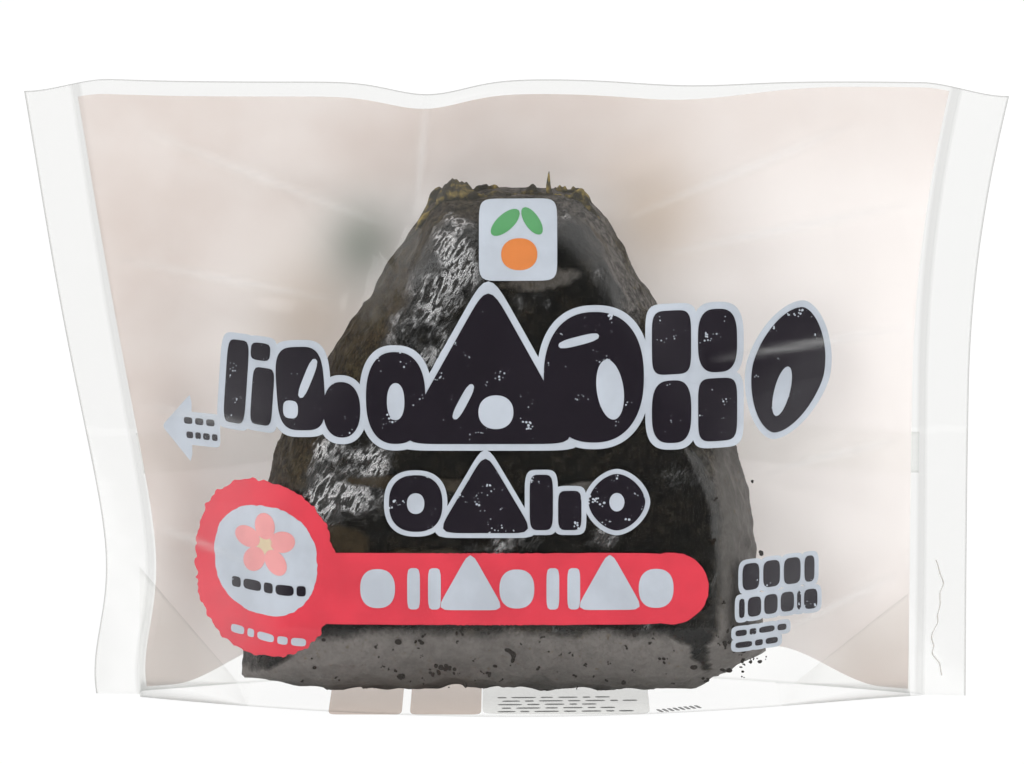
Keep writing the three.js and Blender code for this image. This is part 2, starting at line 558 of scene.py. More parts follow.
class Nodes:
    """A short way to write a node tree."""

    def __init__(self, tree: bpy.types.NodeTree) -> None:
        """Empty the tree and keep it."""
        self.tree = tree
        tree.nodes.clear()

    def add(self, kind: str, inputs: dict | None = None, **settings: object) -> bpy.types.Node:
        """Add a node.

        Args:
            kind: The node's type name without its ShaderNode or Node start.
            inputs: Values or output sockets for the node's inputs, by name or number.
            **settings: Properties of the node.

        Returns:
            The new node.
        """
        names = ("ShaderNode" + kind, "Node" + kind)
        node = self.tree.nodes.new(next(n for n in names if hasattr(bpy.types, n)))
        for key, value in settings.items():
            setattr(node, key, value)
        for key, value in (inputs or {}).items():
            socket = node.inputs[key]
            if isinstance(value, Socket):
                self.tree.links.new(value, socket)
            else:
                socket.default_value = (*value, 1.0) if socket.type == "RGBA" else value
        return node

    def math(self, operation: str, *values: object, clamp: bool = False) -> Socket:
        """Add a Math node and return its result."""
        inputs = dict(enumerate(values))
        return self.add("Math", inputs, operation=operation, use_clamp=clamp).outputs[0]

    def mix(self, factor: object, first: object, second: object) -> Socket:
        """Add a colour mix and return its result."""
        node = self.add("Mix", {0: factor, 6: first, 7: second}, data_type="RGBA")
        return node.outputs[2]

    def ramp(self, value: object, low: float, high: float, start: float = 0.0,
             end: float = 1.0) -> Socket:
        """Map value from the range low to high onto start to end, clamped and smooth."""
        inputs = {0: value, 1: low, 2: high, 3: start, 4: end}
        return self.add("MapRange", inputs, interpolation_type="SMOOTHSTEP").outputs[0]

    def shaders(self, share: object, first: Socket, second: Socket) -> Socket:
        """Add a mix of two shaders and return it."""
        return self.add("MixShader", {0: share, 1: first, 2: second}).outputs[0]

    def times(self, first: object, second: object) -> Socket:
        """Return the product of two numbers."""
        return self.math("MULTIPLY", first, second)

    def plus(self, first: object, second: object) -> Socket:
        """Return the sum of two numbers."""
        return self.math("ADD", first, second)

    def minus(self, first: object, second: object) -> Socket:
        """Return the first number less the second."""
        return self.math("SUBTRACT", first, second)

    def clear(self, tint: Colour) -> Socket:
        """Add a see-through shader and return it."""
        return self.add("BsdfTransparent", {"Color": tint}).outputs[0]

    def group(self, tree: Tree, amount: float) -> Socket:
        """Place a shared effect with its own amount and return its result."""
        return self.add("Group", {"Amount": amount}, node_tree=tree).outputs[0]

    def place(self, scale: tuple[float, float, float] = (1.0, 1.0, 1.0)) -> Socket:
        """Return the Object coordinates in millimetres, stretched by scale."""
        inputs = {"Vector": self.add("TexCoord").outputs["Object"], "Scale": [s / MM for s in scale]}
        return self.add("Mapping", inputs).outputs[0]

    def tilted(self, degrees: float, stretch: float) -> Socket:
        """Return the place in millimetres, drawn out along a leaning line.

        Args:
            degrees: How far the line leans over in X from upright.
            stretch: How many times longer than wide a texture's lumps become.

        Returns:
            The place's output socket.
        """
        where = self.add("TexCoord").outputs["Object"]
        turn = (0.0, math.radians(degrees), 0.0)
        inputs = {"Vector": where, "Rotation": turn, "Scale": (MM, MM, MM * stretch)}
        return self.add("Mapping", inputs, vector_type="TEXTURE").outputs[0]

    def noise(self, vector: object, cell: float, detail: float = 3.0,
              rough: float = 0.5) -> Socket:
        """Return a noise from 0 to 1 whose lumps are about cell millimetres wide."""
        inputs = {"Vector": vector, "Scale": 1.0 / cell, "Detail": detail, "Roughness": rough}
        return self.add("TexNoise", inputs).outputs[0]

    def bump(self, height: Socket, distance_mm: float, strength: float = 1.0) -> Socket:
        """Return a normal bumped by height, which stands for distance_mm."""
        inputs = {"Height": height, "Distance": distance_mm * MM, "Strength": strength}
        return self.add("Bump", inputs).outputs[0]

    def attribute(self, name: str) -> Socket:
        """Return a number stored at the mesh's points."""
        return self.add("Attribute", attribute_name=name).outputs["Fac"]

    def principled(self, inputs: dict) -> Socket:
        """Add a Principled shader and return it."""
        return self.add("BsdfPrincipled", inputs).outputs[0]

    def output(self, shader: Socket) -> None:
        """Make the shader the material's surface."""
        self.add("OutputMaterial", {"Surface": shader})


def new_material(name: str) -> tuple[Material, Nodes]:
    """Start a material.

    Args:
        name: The material's name.

    Returns:
        The material and its empty node tree.
    """
    material = bpy.data.materials.new(name)
    material.use_nodes = True
    return material, Nodes(material.node_tree)


def make_group(name: str, output: str, **inputs: float) -> tuple[Tree, Nodes, bpy.types.Node]:
    """Make an empty shader node group with number sockets.

    Args:
        name: The group's name.
        output: The name of its output.
        **inputs: Default values of its inputs.

    Returns:
        The group, its Nodes and its input node.
    """
    group = bpy.data.node_groups.new(name, "ShaderNodeTree")
    kind = "NodeSocketFloat"
    for socket_name, value in inputs.items():
        socket = group.interface.new_socket(socket_name, in_out="INPUT", socket_type=kind)
        socket.default_value = value
    group.interface.new_socket(output, in_out="OUTPUT", socket_type=kind)
    nodes = Nodes(group)
    return group, nodes, nodes.add("GroupInput")


def wear_group() -> Tree:
    """Build the group of worn specks in ink: small grains that clump together.

    A fine cell pattern gives the specks and a broad noise says where they clump.

    Returns:
        The group.
    """
    group, nodes, given = make_group("ink_wear", "Mask", Speck=0.55, Amount=0.5)
    place = nodes.place()
    size = nodes.math("DIVIDE", 1.0, given.outputs["Speck"])
    grain = nodes.add("TexVoronoi", {"Vector": place, "Scale": size}).outputs["Distance"]
    fine = nodes.noise(place, 0.35, 2.0)
    clump = nodes.ramp(nodes.noise(place, 3.4, 2.0, 0.6), 0.50, 0.78)
    reach = nodes.times(clump, given.outputs["Amount"])
    edge = nodes.plus(grain, nodes.times(fine, 0.16))
    mask = nodes.ramp(nodes.minus(edge, reach), 0.0, 0.09, 1.0, 0.0)
    nodes.add("GroupOutput", {"Mask": mask})
    return group


def crinkle_group() -> Tree:
    """Build the group of soft crinkles of thin film: a noise folded over into crests.

    Returns:
        The group.
    """
    group, nodes, given = make_group("film_crinkle", "Height", Amount=1.0)
    place = nodes.place((1.0, 1.0, 0.7))
    broad = nodes.noise(place, 6.0, 1.5, 0.6)
    fold = nodes.math("ABSOLUTE", nodes.minus(broad, 0.5))
    height = nodes.times(fold, given.outputs["Amount"])
    nodes.add("GroupOutput", {"Height": height})
    return group


@dataclass(frozen=True)
class FilmFinish:
    """Thin clear film: mostly see-through, with a crisp gloss and a trace of haze.

    Both surfaces of the film reflect, so the gloss is more than Fresnel's share for one. Where
    the film clings to the ball it follows the nori, whose own coat carries the gloss there.
    Haze rises in the pressed seals, and cut edges and folds show as faint grey lines. A
    painted highlight of haze runs along the front creases.
    """

    name: str
    tint: Colour = (0.990, 0.990, 0.985)
    line_tint: Colour = (0.70, 0.70, 0.69)
    roughness: float = 0.13
    haze: float = 0.004
    crinkle: float = 0.5
    ior: float = 1.5
    most_gloss: float = 0.24
    surfaces: float = 1.25
    seal_loss: float = 0.2
    cling_loss: float = 0.9
    seal_haze: float = 0.03
    # Painted highlight: whitish haze along the front creases.
    crease_highlight_haze: float = 0.22
    gloss_colour: Colour = (0.96, 0.97, 0.98)
    haze_colour: Colour = (0.80, 0.81, 0.80)
    shadow_tint: Colour = (0.93, 0.93, 0.92)

    def build(self, crinkle: Tree) -> Material:
        """Build the material.

        The share of gloss is Fresnel's times the number of surfaces, less in the seals and
        where the film clings. The rest is clear film with a share of haze, which rises in the
        seals and, as a painted highlight, along the creases.

        Args:
            crinkle: The shared group of crinkles.

        Returns:
            The material.
        """
        material, nodes = new_material(self.name)
        cling = nodes.attribute("cling")
        seal = nodes.attribute("seal")
        line = nodes.attribute("line")
        normal = nodes.bump(nodes.group(crinkle, self.crinkle), 0.35, 0.6)
        inner = nodes.add("NewGeometry").outputs["Backfacing"]
        index = {0: inner, 2: self.ior, 3: 1.0 / self.ior}
        index = nodes.add("Mix", index, data_type="FLOAT").outputs[0]
        fresnel = nodes.add("Fresnel", {"IOR": index, "Normal": normal}).outputs[0]
        fresnel = nodes.math("MINIMUM", fresnel, self.most_gloss)
        surfaces = nodes.minus(self.surfaces, nodes.times(seal, self.seal_loss))
        surfaces = nodes.minus(surfaces, nodes.times(cling, self.cling_loss))
        shine = nodes.math("MULTIPLY", fresnel, surfaces, clamp=True)
        haze = nodes.plus(nodes.times(seal, self.seal_haze), self.haze)
        # Painted highlight: more whitish haze along the creases' lines.
        haze = nodes.plus(haze, nodes.times(nodes.attribute("crease_highlight"), self.crease_highlight_haze))
        gloss = nodes.principled({
            "Base Color": self.gloss_colour,
            "Metallic": 1.0,
            "Roughness": self.roughness,
            "Normal": normal,
        })
        cloud = nodes.principled({
            "Base Color": self.haze_colour,
            "Roughness": 0.5,
            "Specular IOR Level": 0.0,
        })
        tint = nodes.mix(line, self.tint, self.line_tint)
        milky = nodes.shaders(haze, nodes.clear(tint), cloud)
        full = nodes.shaders(shine, milky, gloss)
        shadow_ray = nodes.add("LightPath").outputs["Is Shadow Ray"]
        nodes.output(nodes.shaders(shadow_ray, full, nodes.clear(self.shadow_tint)))
        return material


@dataclass(frozen=True)
class PrintFinish:
    """Ink on the inside of the film: flat colour with a faint mottle and worn specks."""

    name: str
    slot: Slot
    colour: Colour
    worn_colour: Colour = (0.5, 0.5, 0.55)
    wear: float = 0.0
    mottle: float = 0.04
    roughness: float = 0.42
    thin: float = 0.0

    def build(self, wear: Tree) -> Material:
        """Build the material. Thin ink lets a share of what lies behind it through.

        Args:
            wear: The shared group of worn specks.

        Returns:
            The material.
        """
        material, nodes = new_material(self.name)
        place = nodes.place()
        cloud = nodes.noise(place, 9.0, 4.0, 0.6)
        dark = tuple(c * (1.0 - 2.5 * self.mottle) for c in self.colour)
        light = tuple(min(1.0, c * (1.0 + self.mottle)) for c in self.colour)
        colour = nodes.mix(nodes.ramp(cloud, 0.3, 0.7), dark, light)
        if self.wear > 0.0:
            colour = nodes.mix(nodes.group(wear, self.wear), colour, self.worn_colour)
        height = nodes.noise(place, 0.5, 2.0)
        shader = nodes.principled({
            "Base Color": colour,
            "Roughness": self.roughness,
            "Specular IOR Level": 0.25,
            "Normal": nodes.bump(height, 0.01, 0.4),
        })
        if self.thin > 0.0:
            stain = tuple(0.5 + 0.5 * c for c in self.colour)
            shader = nodes.shaders(self.thin, shader, nodes.clear(stain))
        nodes.output(shader)
        return material


@dataclass(frozen=True)
class BackPrintFinish:
    """The beige print inside the back film: a soft pinkish beige with a fine paper mottle.

    The ink is thin, so light from behind comes through it. Its attributes green and tan say
    where a faint greenish or tan cloud of painted shadow from the ball lies on it, and bright
    says where painted light lifts it, next to the ball and towards the right.
    """

    name: str = "back_print"
    pale: Colour = (0.80, 0.735, 0.705)
    deep: Colour = (0.72, 0.635, 0.595)
    # Painted shadow of the ball: greenish at its upper left, tan elsewhere.
    green: Colour = (0.36, 0.375, 0.34)
    tan: Colour = (0.66, 0.55, 0.46)
    # Painted light next to the ball and towards the right.
    bright: Colour = (0.97, 0.92, 0.90)
    through: float = 0.42

    def build(self) -> Material:
        """Build the material.

        Returns:
            The material.
        """
        material, nodes = new_material(self.name)
        place = nodes.place()
        cloud = nodes.noise(place, 26.0, 3.0, 0.55)
        dots = nodes.noise(place, 0.45, 2.0)
        tone = nodes.plus(nodes.ramp(cloud, 0.3, 0.72), nodes.times(dots, 0.2))
        colour = nodes.mix(tone, self.deep, self.pale)
        # Painted light first, then the painted shadow spots of the ball.
        colour = nodes.mix(nodes.attribute("bright"), colour, self.bright)
        colour = nodes.mix(nodes.attribute("tan"), colour, self.tan)
        colour = nodes.mix(nodes.attribute("green"), colour, self.green)
        ink = nodes.principled({
            "Base Color": colour,
            "Roughness": 0.55,
            "Specular IOR Level": 0.2,
            "Normal": nodes.bump(dots, 0.02, 0.3),
        })
        glow = nodes.add("BsdfTranslucent", {"Color": colour}).outputs[0]
        nodes.output(nodes.shaders(self.through, ink, glow))
        return material


@dataclass(frozen=True)
class NoriFinish:
    """Dried seaweed sheet: black and moist where the film clings to it, matt grey-brown elsewhere.

    Fibres run up the sheet, green and brown patches lie between them, and the gloss is uneven.
    The bare sheet is painted a lighter grey at the right and low down, as the film's reflection;
    low down that grey is partly dust.
    """

    name: str = "nori"
    black: Colour = (0.004, 0.004, 0.003)
    moist: Colour = (0.011, 0.009, 0.006)
    warm: Colour = (0.040, 0.028, 0.014)
    # Painted reflection: the film's grey sheen over the bare nori at the right and low down.
    grey: Colour = (0.110, 0.103, 0.097)
    # Low down: partly dust on the nori, partly painted reflection of the floor in the film.
    dust_and_sheen: Colour = (0.172, 0.160, 0.150)
    olive: Colour = (0.050, 0.040, 0.022)
    brown: Colour = (0.115, 0.088, 0.050)
    low_band: tuple[float, float] = (12.0, 24.0)
    # Where along x the painted grey sheen comes in, towards the right.
    sheen_band: tuple[float, float] = (-28.0, 24.0)
    coat_roughness: float = 0.10
    coat_ior: float = 1.7
    glint_colour: Colour = (0.95, 0.95, 0.96)
    glint_roughness: float = 0.19

    def build(self) -> Material:
        """Build the material.

        The attribute dry blends the moist sheet into the bare one, which is painted a lighter grey
        at the right and low down, where it stands in for the film's reflection, and plain evens
        out the bare one's flecks. Under the film, the crests of a drawn-out noise glint, more so
        where rumple is high.

        Returns:
            The material.
        """
        material, nodes = new_material(self.name)
        place = nodes.place()
        strand = nodes.place((1.0, 1.0, 0.30))
        dry = nodes.attribute("dry")
        fibre = nodes.noise(strand, 0.5, 4.0, 0.65)
        patch = nodes.noise(place, 5.0, 4.0, 0.6)
        grit = nodes.noise(place, 1.2, 4.0, 0.7)
        wet = nodes.mix(nodes.ramp(patch, 0.38, 0.66), self.black, self.moist)
        parts = nodes.add("SeparateXYZ", {0: place}).outputs
        low = nodes.ramp(parts["Z"], *self.low_band, 1.0, 0.0)
        # Painted reflection: the bare nori turns grey towards the right and low down, lighter still low
        # down.
        sheen_share = nodes.math("MAXIMUM", nodes.ramp(parts["X"], *self.sheen_band), low)
        bare = nodes.mix(sheen_share, self.warm, self.grey)
        bare = nodes.mix(low, bare, self.dust_and_sheen)
        plain = nodes.attribute("plain")
        uneven = nodes.minus(1.0, plain)
        olive_share = nodes.times(nodes.ramp(patch, 0.42, 0.70), uneven)
        bare = nodes.mix(olive_share, bare, self.olive)
        base = nodes.mix(dry, wet, bare)
        specks = nodes.ramp(grit, 0.58, 0.74, 0.0, 0.75)
        colour = nodes.mix(specks, base, nodes.mix(dry, self.moist, self.brown))
        coarse = nodes.noise(nodes.tilted(24.0, 1.3), 1.5, 5.0, 0.72)
        fine = nodes.noise(nodes.tilted(-18.0, 1.6), 0.5, 2.0, 0.6)
        fleck = nodes.plus(coarse, nodes.times(fine, 0.55))
        shade = nodes.ramp(fleck, 0.60, 0.98, 0.34, 1.70)
        mild = nodes.ramp(fleck, 0.60, 0.96, 0.84, 1.10)
        level = nodes.add("Mix", {0: plain, 2: shade, 3: mild}, data_type="FLOAT").outputs[0]
        colour = nodes.add("VectorMath", {0: colour, "Scale": level}, operation="SCALE").outputs[0]
        height = nodes.plus(fibre, nodes.times(nodes.plus(grit, coarse), 1.1))
        height = nodes.times(height, nodes.minus(1.0, nodes.times(plain, 0.8)))
        normal = nodes.bump(height, 0.48, 0.9)
        moist_gloss = nodes.ramp(nodes.noise(place, 2.2, 3.0), 0.35, 0.7, 0.24, 0.5)
        rough = nodes.plus(moist_gloss, nodes.times(dry, 0.2))
        leather = nodes.noise(nodes.tilted(30.0, 3.0), 1.3, 4.0, 0.60)
        crests = nodes.math("ABSOLUTE", nodes.minus(leather, 0.5))
        lean = nodes.ramp(nodes.attribute("rumple"), 0.0, 1.0, -0.07, 0.14)
        clump = nodes.plus(nodes.noise(place, 7.5, 3.0, 0.6), lean)
        rumpled = nodes.ramp(clump, 0.46, 0.66, 0.16, 1.0)
        film_normal = nodes.bump(nodes.times(crests, rumpled), -1.5, 1.0)
        wetness = nodes.minus(1.0, dry)
        sheet = nodes.principled({
            "Base Color": colour,
            "Roughness": rough,
            "Specular IOR Level": 0.12,
            "Normal": normal,
            "Coat Weight": nodes.times(wetness, nodes.minus(0.9, nodes.times(low, 0.8))),
            "Coat Roughness": self.coat_roughness,
            "Coat IOR": self.coat_ior,
            "Coat Normal": film_normal,
        })
        glint = nodes.principled({
            "Base Color": self.glint_colour,
            "Metallic": 1.0,
            "Roughness": self.glint_roughness,
            "Normal": film_normal,
        })
        peaks = nodes.ramp(crests, 0.020, 0.090, 0.9, 0.0)
        held = nodes.times(wetness, uneven)
        share = nodes.times(nodes.times(peaks, nodes.ramp(clump, 0.56, 0.72)), held)
        nodes.output(nodes.shaders(share, sheet, glint))
        return material


@dataclass(frozen=True)
class TornNoriFinish:
    """The thin torn edge of the sheet: olive to yellow-green where it is one layer thick."""

    name: str = "nori_torn_edge"
    brown: Colour = (0.034, 0.027, 0.014)
    yellow: Colour = (0.36, 0.26, 0.06)
    black: Colour = (0.025, 0.024, 0.013)

    def build(self) -> Material:
        """Build the material, whose colour is lighter where the attribute thin is high.

        Returns:
            The material.
        """
        material, nodes = new_material(self.name)
        place = nodes.place()
        thin = nodes.attribute("thin")
        patch = nodes.noise(place, 1.8, 4.0, 0.6)
        shade = nodes.mix(nodes.ramp(patch, 0.46, 0.74), self.brown, self.yellow)
        colour = nodes.mix(thin, self.black, shade)
        shader = nodes.principled({
            "Base Color": colour,
            "Roughness": 0.55,
            "Normal": nodes.bump(nodes.noise(place, 0.5, 3.0), 0.15, 0.7),
        })
        nodes.output(shader)
        return material


@dataclass
class FilmTube:
    """The clear film: one tube over front, back and base, pressed flat at both ends."""

    form: PackForm
    hem: float = 0.0022
    seal_columns: int = 12
    body_columns: int = 236
    panel_rows: int = 138
    base_points: int = 17
    gusset_ends: tuple[float, float] = (66.0, 75.0)
    cling_reach: float = 0.42
    base_cling: float = 0.8
    border_line: float = 0.25
    base_line: float = 0.6

    def columns(self) -> Array:
        """Place the grid's lines along the pack, closer together in the seals.

        Returns:
            Their shares of the width.
        """
        share = self.form.seal_share
        inner = np.linspace(self.hem, share - self.hem, self.seal_columns)
        left = np.concatenate([[0.0], inner])
        body = np.linspace(share, 1.0 - share, self.body_columns + 1)
        return np.concatenate([left, body, 1.0 - left[::-1]])

    def rows(self) -> Array:
        """Place the grid's lines up the pack, with lines added at the back seam's edges.

        Returns:
            Their shares of the height.
        """
        plain = np.append(np.linspace(0.0, 1.0 - self.hem, self.panel_rows) ** 1.1, 1.0)
        form = self.form
        edges = np.array([form.seam_low - form.seam_edge, form.seam_low,
                          form.seam_high, form.seam_high + form.seam_edge]) / form.height
        near = np.abs(plain[:, None] - edges[None, :]).min(axis=1) < 0.25 / self.panel_rows
        return np.sort(np.concatenate([plain[~near], edges]))

    def build(self, material: Material) -> Piece:
        """Make the film.

        Each ring of the tube goes up the front, down the back and home across the base. In
        the seals both panels lie film_half from the middle, with pressed ridges on them. In
        the base, the line between the panels climbs to the gusset's ridge near the seals.

        Args:
            material: The film's material.

        Returns:
            The film's piece.
        """
        form = self.form
        u = self.columns()[:, None]
        v = self.rows()[None, :]
        x, z = form.across(u, v)
        in_seal = (u < form.seal_share - 1e-9) | (u > 1.0 - form.seal_share + 1e-9)
        ridge = np.where(in_seal, form.crimp_half * (np.arange(len(u)) % 2)[:, None], 0.0)
        sway = form.sway(x, z)
        pressed = form.film_half + ridge
        front_depth = np.where(in_seal, pressed, form.depth(x, z, Side.FRONT))
        back_depth = np.where(in_seal, pressed, form.depth(x, z, Side.BACK)) + form.seam(z)
        front = np.stack([x, sway - front_depth, z], axis=-1)
        back = np.stack([x, sway + back_depth, z], axis=-1)[:, ::-1]

        share = np.linspace(1.0, -1.0, self.base_points + 2)[None, 1:-1]
        foot = x[:, :1]
        reach = np.where(in_seal, form.film_half, form.base_depth(foot))
        inner = np.maximum(reach - form.gusset_wall, reach * 0.4)
        seal_x = np.where(u < 0.5, *self.gusset_ends)
        climb = np.clip((np.abs(foot) - form.gusset_start) / (seal_x - form.gusset_start), 0.0, 1.0)
        peak = np.where(in_seal | (reach < 2.0 * form.gusset_wall), 0.0, form.gusset_height * climb)
        rise = peak * (1.0 - np.abs(share)) ** 0.9
        base_y = form.sway(foot, np.zeros_like(foot)) + share * np.where(peak > 0, inner, reach)
        base = np.stack([np.broadcast_to(foot, rise.shape), base_y, rise], axis=-1)

        rings = np.concatenate([front, back, base], axis=1)
        count = rings.shape[1]
        tube = grid_quads(len(u), count, False, True)
        faces = [tube, *self.caps(len(u), count, v.shape[1])]
        parts = self.masks(u, v, x, z, in_seal)
        masks = {
            name: np.concatenate([on_front, on_back[:, ::-1], on_base + 0.0 * rise], axis=1)
            for name, (on_front, on_back, on_base) in parts.items()
        }
        return build_piece("film", rings.reshape(-1, 3), faces, material, Slot.FILM, masks)

    def masks(self, u: Array, v: Array, x: Array, z: Array, in_seal: Array) -> dict[str, tuple]:
        """Return the numbers that the film's material reads.

        Args:
            u: Shares of the width.
            v: Shares of the height.
            x: Places along the pack.
            z: Heights.
            in_seal: Whether a column lies in a seal.

        Returns:
            For streak, cling, seal and line, the values on the front, the back and the base.
        """
        way = self.form.way_out(x, z)
        # Painted highlight: whitish haze along the front creases, on the loose film only.
        crease_highlight = np.maximum.reduce([crease.crease_highlight(x, z) for crease in FRONT_CREASES])
        crease_highlight = np.where(in_seal, 0.0, crease_highlight * smooth(way, 0.05, 0.25))
        cling = np.where(in_seal, 0.0, 1.0 - smooth(way, 0.0, self.cling_reach))
        seal = in_seal + np.zeros(x.shape)
        share = self.form.seal_share
        border = np.minimum(np.abs(u - share), np.abs(1.0 - share - u)) < 2.0 * self.hem
        hem = (u < 0.5 * self.hem) | (u > 1.0 - 0.5 * self.hem)
        line = np.where(hem | (v > 1.0 - 0.5 * self.hem), 1.0, np.where(border, self.border_line, 0.0))
        line = np.where((v == 0.0) & ~in_seal, self.base_line, line)
        return {
            "crease_highlight": (crease_highlight, 0.0 * crease_highlight, 0.0),
            "cling": (cling, cling, self.base_cling),
            "seal": (seal, seal, seal[:, :1]),
            "line": (line, line, 0.0),
        }

    def caps(self, rings: int, count: int, rows: int) -> tuple[Array, Array]:
        """Return the faces that close the first and the last ring, front row to back row.

        Args:
            rings: Number of rings.
            count: Number of points in a ring.
            rows: Number of points up a panel.

        Returns:
            The faces of both caps.
        """
        j = np.arange(rows - 1)
        opposite = 2 * rows - 1 - j
        strip = np.stack([j, j + 1, opposite - 1, opposite], axis=-1)
        last = (rings - 1) * count
        return strip, last + strip[:, ::-1]


@dataclass(frozen=True)
class ShadowSpot:
    """A soft spot of painted shadow on the back print, drawn out in x by wide and in z by tall."""

    x: float
    z: float
    wide: float
    tall: float
    reach: float
    strength: float

    def share(self, x: Array, z: Array) -> Array:
        """Return the spot's strength at points: a bell of their distance from its middle."""
        off = np.hypot((x - self.x) / self.wide, (z - self.z) / self.tall)
        return self.strength * hill(off, self.reach)


# Painted shadow of the ball on the back print: greenish at its upper left, tan at its upper right and its
# left.
GREEN_SHADOW = ShadowSpot(-26.5, 79.0, 1.0, 1.25, 7.0, 0.95)
TAN_SHADOWS = (ShadowSpot(24.0, 84.0, 1.0, 1.3, 9.0, 0.8), ShadowSpot(-36.0, 66.0, 1.1, 1.4, 9.0, 0.7))


@dataclass
class BackPrint:
    """The beige field printed on the inside of the back film, with clear margins."""

    form: PackForm
    left_margin: float = 8.9
    right_margin: float = 10.0
    top_margin: float = 2.6
    right_top_margin: float = 0.9
    reach: float = 75.0
    foot: float = 0.8
    arch: float = 5.4
    inside: float = 0.12
    columns: int = 200
    rows: int = 120

    def build(self, material: Material) -> Piece:
        """Make the print.

        A point at shares s and t lies s of the way between the side margins and t of the
        way from the lower edge, an arch over the base, to the line under the top fold.

        Args:
            material: The print's material.

        Returns:
            The print's piece.
        """
        form = self.form
        s = np.linspace(0.0, 1.0, self.columns)[:, None]
        t = np.linspace(0.0, 1.0, self.rows)[None, :]
        guess = -self.reach + 2.0 * self.reach * s
        low = self.foot + self.arch * smooth(70.0 - np.abs(guess), 0.0, 20.0)
        spare = self.top_margin - self.right_top_margin
        margin = self.right_top_margin + spare * (1.0 - smooth(guess, 25.0, 58.0))
        z = low + t * (form.top_edge(guess) - margin - low)
        left = form.left_edge(z) + self.left_margin
        right = form.right_edge(z) - self.right_margin
        x = left + s * (right - left)
        y = form.panel(x, z, Side.BACK, self.inside) - form.seam(z)
        # Painted shadow of the ball, then painted light: lighter next to the ball, except up top, and
        # towards the right.
        tan = np.maximum.reduce([cloud.share(x, z) for cloud in TAN_SHADOWS])
        beside = (1.0 - smooth(form.way_out(x, z), 0.25, 0.75)) * (1.0 - smooth(z, 84.0, 94.0))
        to_right = smooth(x, 10.0, 52.0) * (1.0 - 0.6 * smooth(z, 85.0, 105.0)) * smooth(z, 4.0, 30.0)
        bright = np.maximum(beside, 0.95 * to_right)
        masks = {"green": GREEN_SHADOW.share(x, z), "tan": tan, "bright": bright}
        return build_sheet("back_print", (x, y, z), material, Slot.BACK_PRINT, masks)


@dataclass
class BackSeam:
    """The flat seam across the back: two more layers of film, welded, inside its relief."""

    form: PackForm
    margin: float = 8.6
    inside: float = 0.2
    columns: int = 200
    rows: int = 12

    def build(self, material: Material) -> Piece:
        """Make the seam: a level strip from seal to seal that follows the back film.

        Args:
            material: The seam's material.

        Returns:
            The seam's piece.
        """
        form = self.form
        s = np.linspace(0.0, 1.0, self.columns)[:, None]
        z = np.linspace(form.seam_low + 0.1, form.seam_high - 0.1, self.rows)[None, :]
        left = form.left_edge(z) + self.margin
        x = left + s * (form.right_edge(z) - self.margin - left)
        y = form.panel(x, z, Side.BACK, self.inside)
        row = np.arange(self.rows)
        edge = np.where((row == 0) | (row == self.rows - 1), 0.5, 0.0)
        masks = {"line": np.broadcast_to(edge, x.shape)}
        return build_sheet("back_seam", (x, y, z), material, Slot.FILM, masks)


@dataclass(frozen=True)
class FacePatch:
    """An oval place on the ball's face, with half sizes wide and tall, turned by tilt degrees."""

    x: float
    z: float
    wide: float
    tall: float
    tilt: float = 0.0

    def share(self, x: Array, z: Array, warp: Array) -> Array:
        """Return the patch's share: a smooth step of the distance measured in its half sizes.

        Args:
            x: Places along the pack.
            z: Heights.
            warp: A noise that bends the patch's edge.

        Returns:
            1 inside the patch and 0 outside.
        """
        turn = math.radians(self.tilt)
        along = (x - self.x) * math.cos(turn) + (z - self.z) * math.sin(turn)
        up = (z - self.z) * math.cos(turn) - (x - self.x) * math.sin(turn)
        reach = np.hypot(along / self.wide, up / self.tall) + 0.45 * warp
        return 1.0 - smooth(reach, 0.85, 1.1)


# Smooth, dry places where the film stands off the nori a little. Their bare nori colour, lighter than the
# moist black, is a painted soft reflection of the film.
DRY_SHEEN_PATCHES = (
    FacePatch(-30.5, 30.5, 6.0, 4.2, 12.0),
    FacePatch(-17.0, 41.2, 12.0, 1.3, -2.0),
    FacePatch(-16.0, 27.5, 9.5, 2.6, 4.0),
    FacePatch(14.0, 41.0, 9.0, 1.2, 4.0),
    FacePatch(6.0, 76.5, 7.0, 1.6, 8.0),
)

# Dark, moist folds that reach down into the dry band along the ball's foot.
DARK_WEDGES = (
    FacePatch(-44.5, 9.6, 6.0, 2.4, 24.0),
    FacePatch(31.0, 14.6, 3.6, 2.2, -10.0),
    FacePatch(32.0, 11.4, 1.7, 2.4, 15.0),
    FacePatch(33.2, 8.7, 0.6, 1.8, 22.0),
)


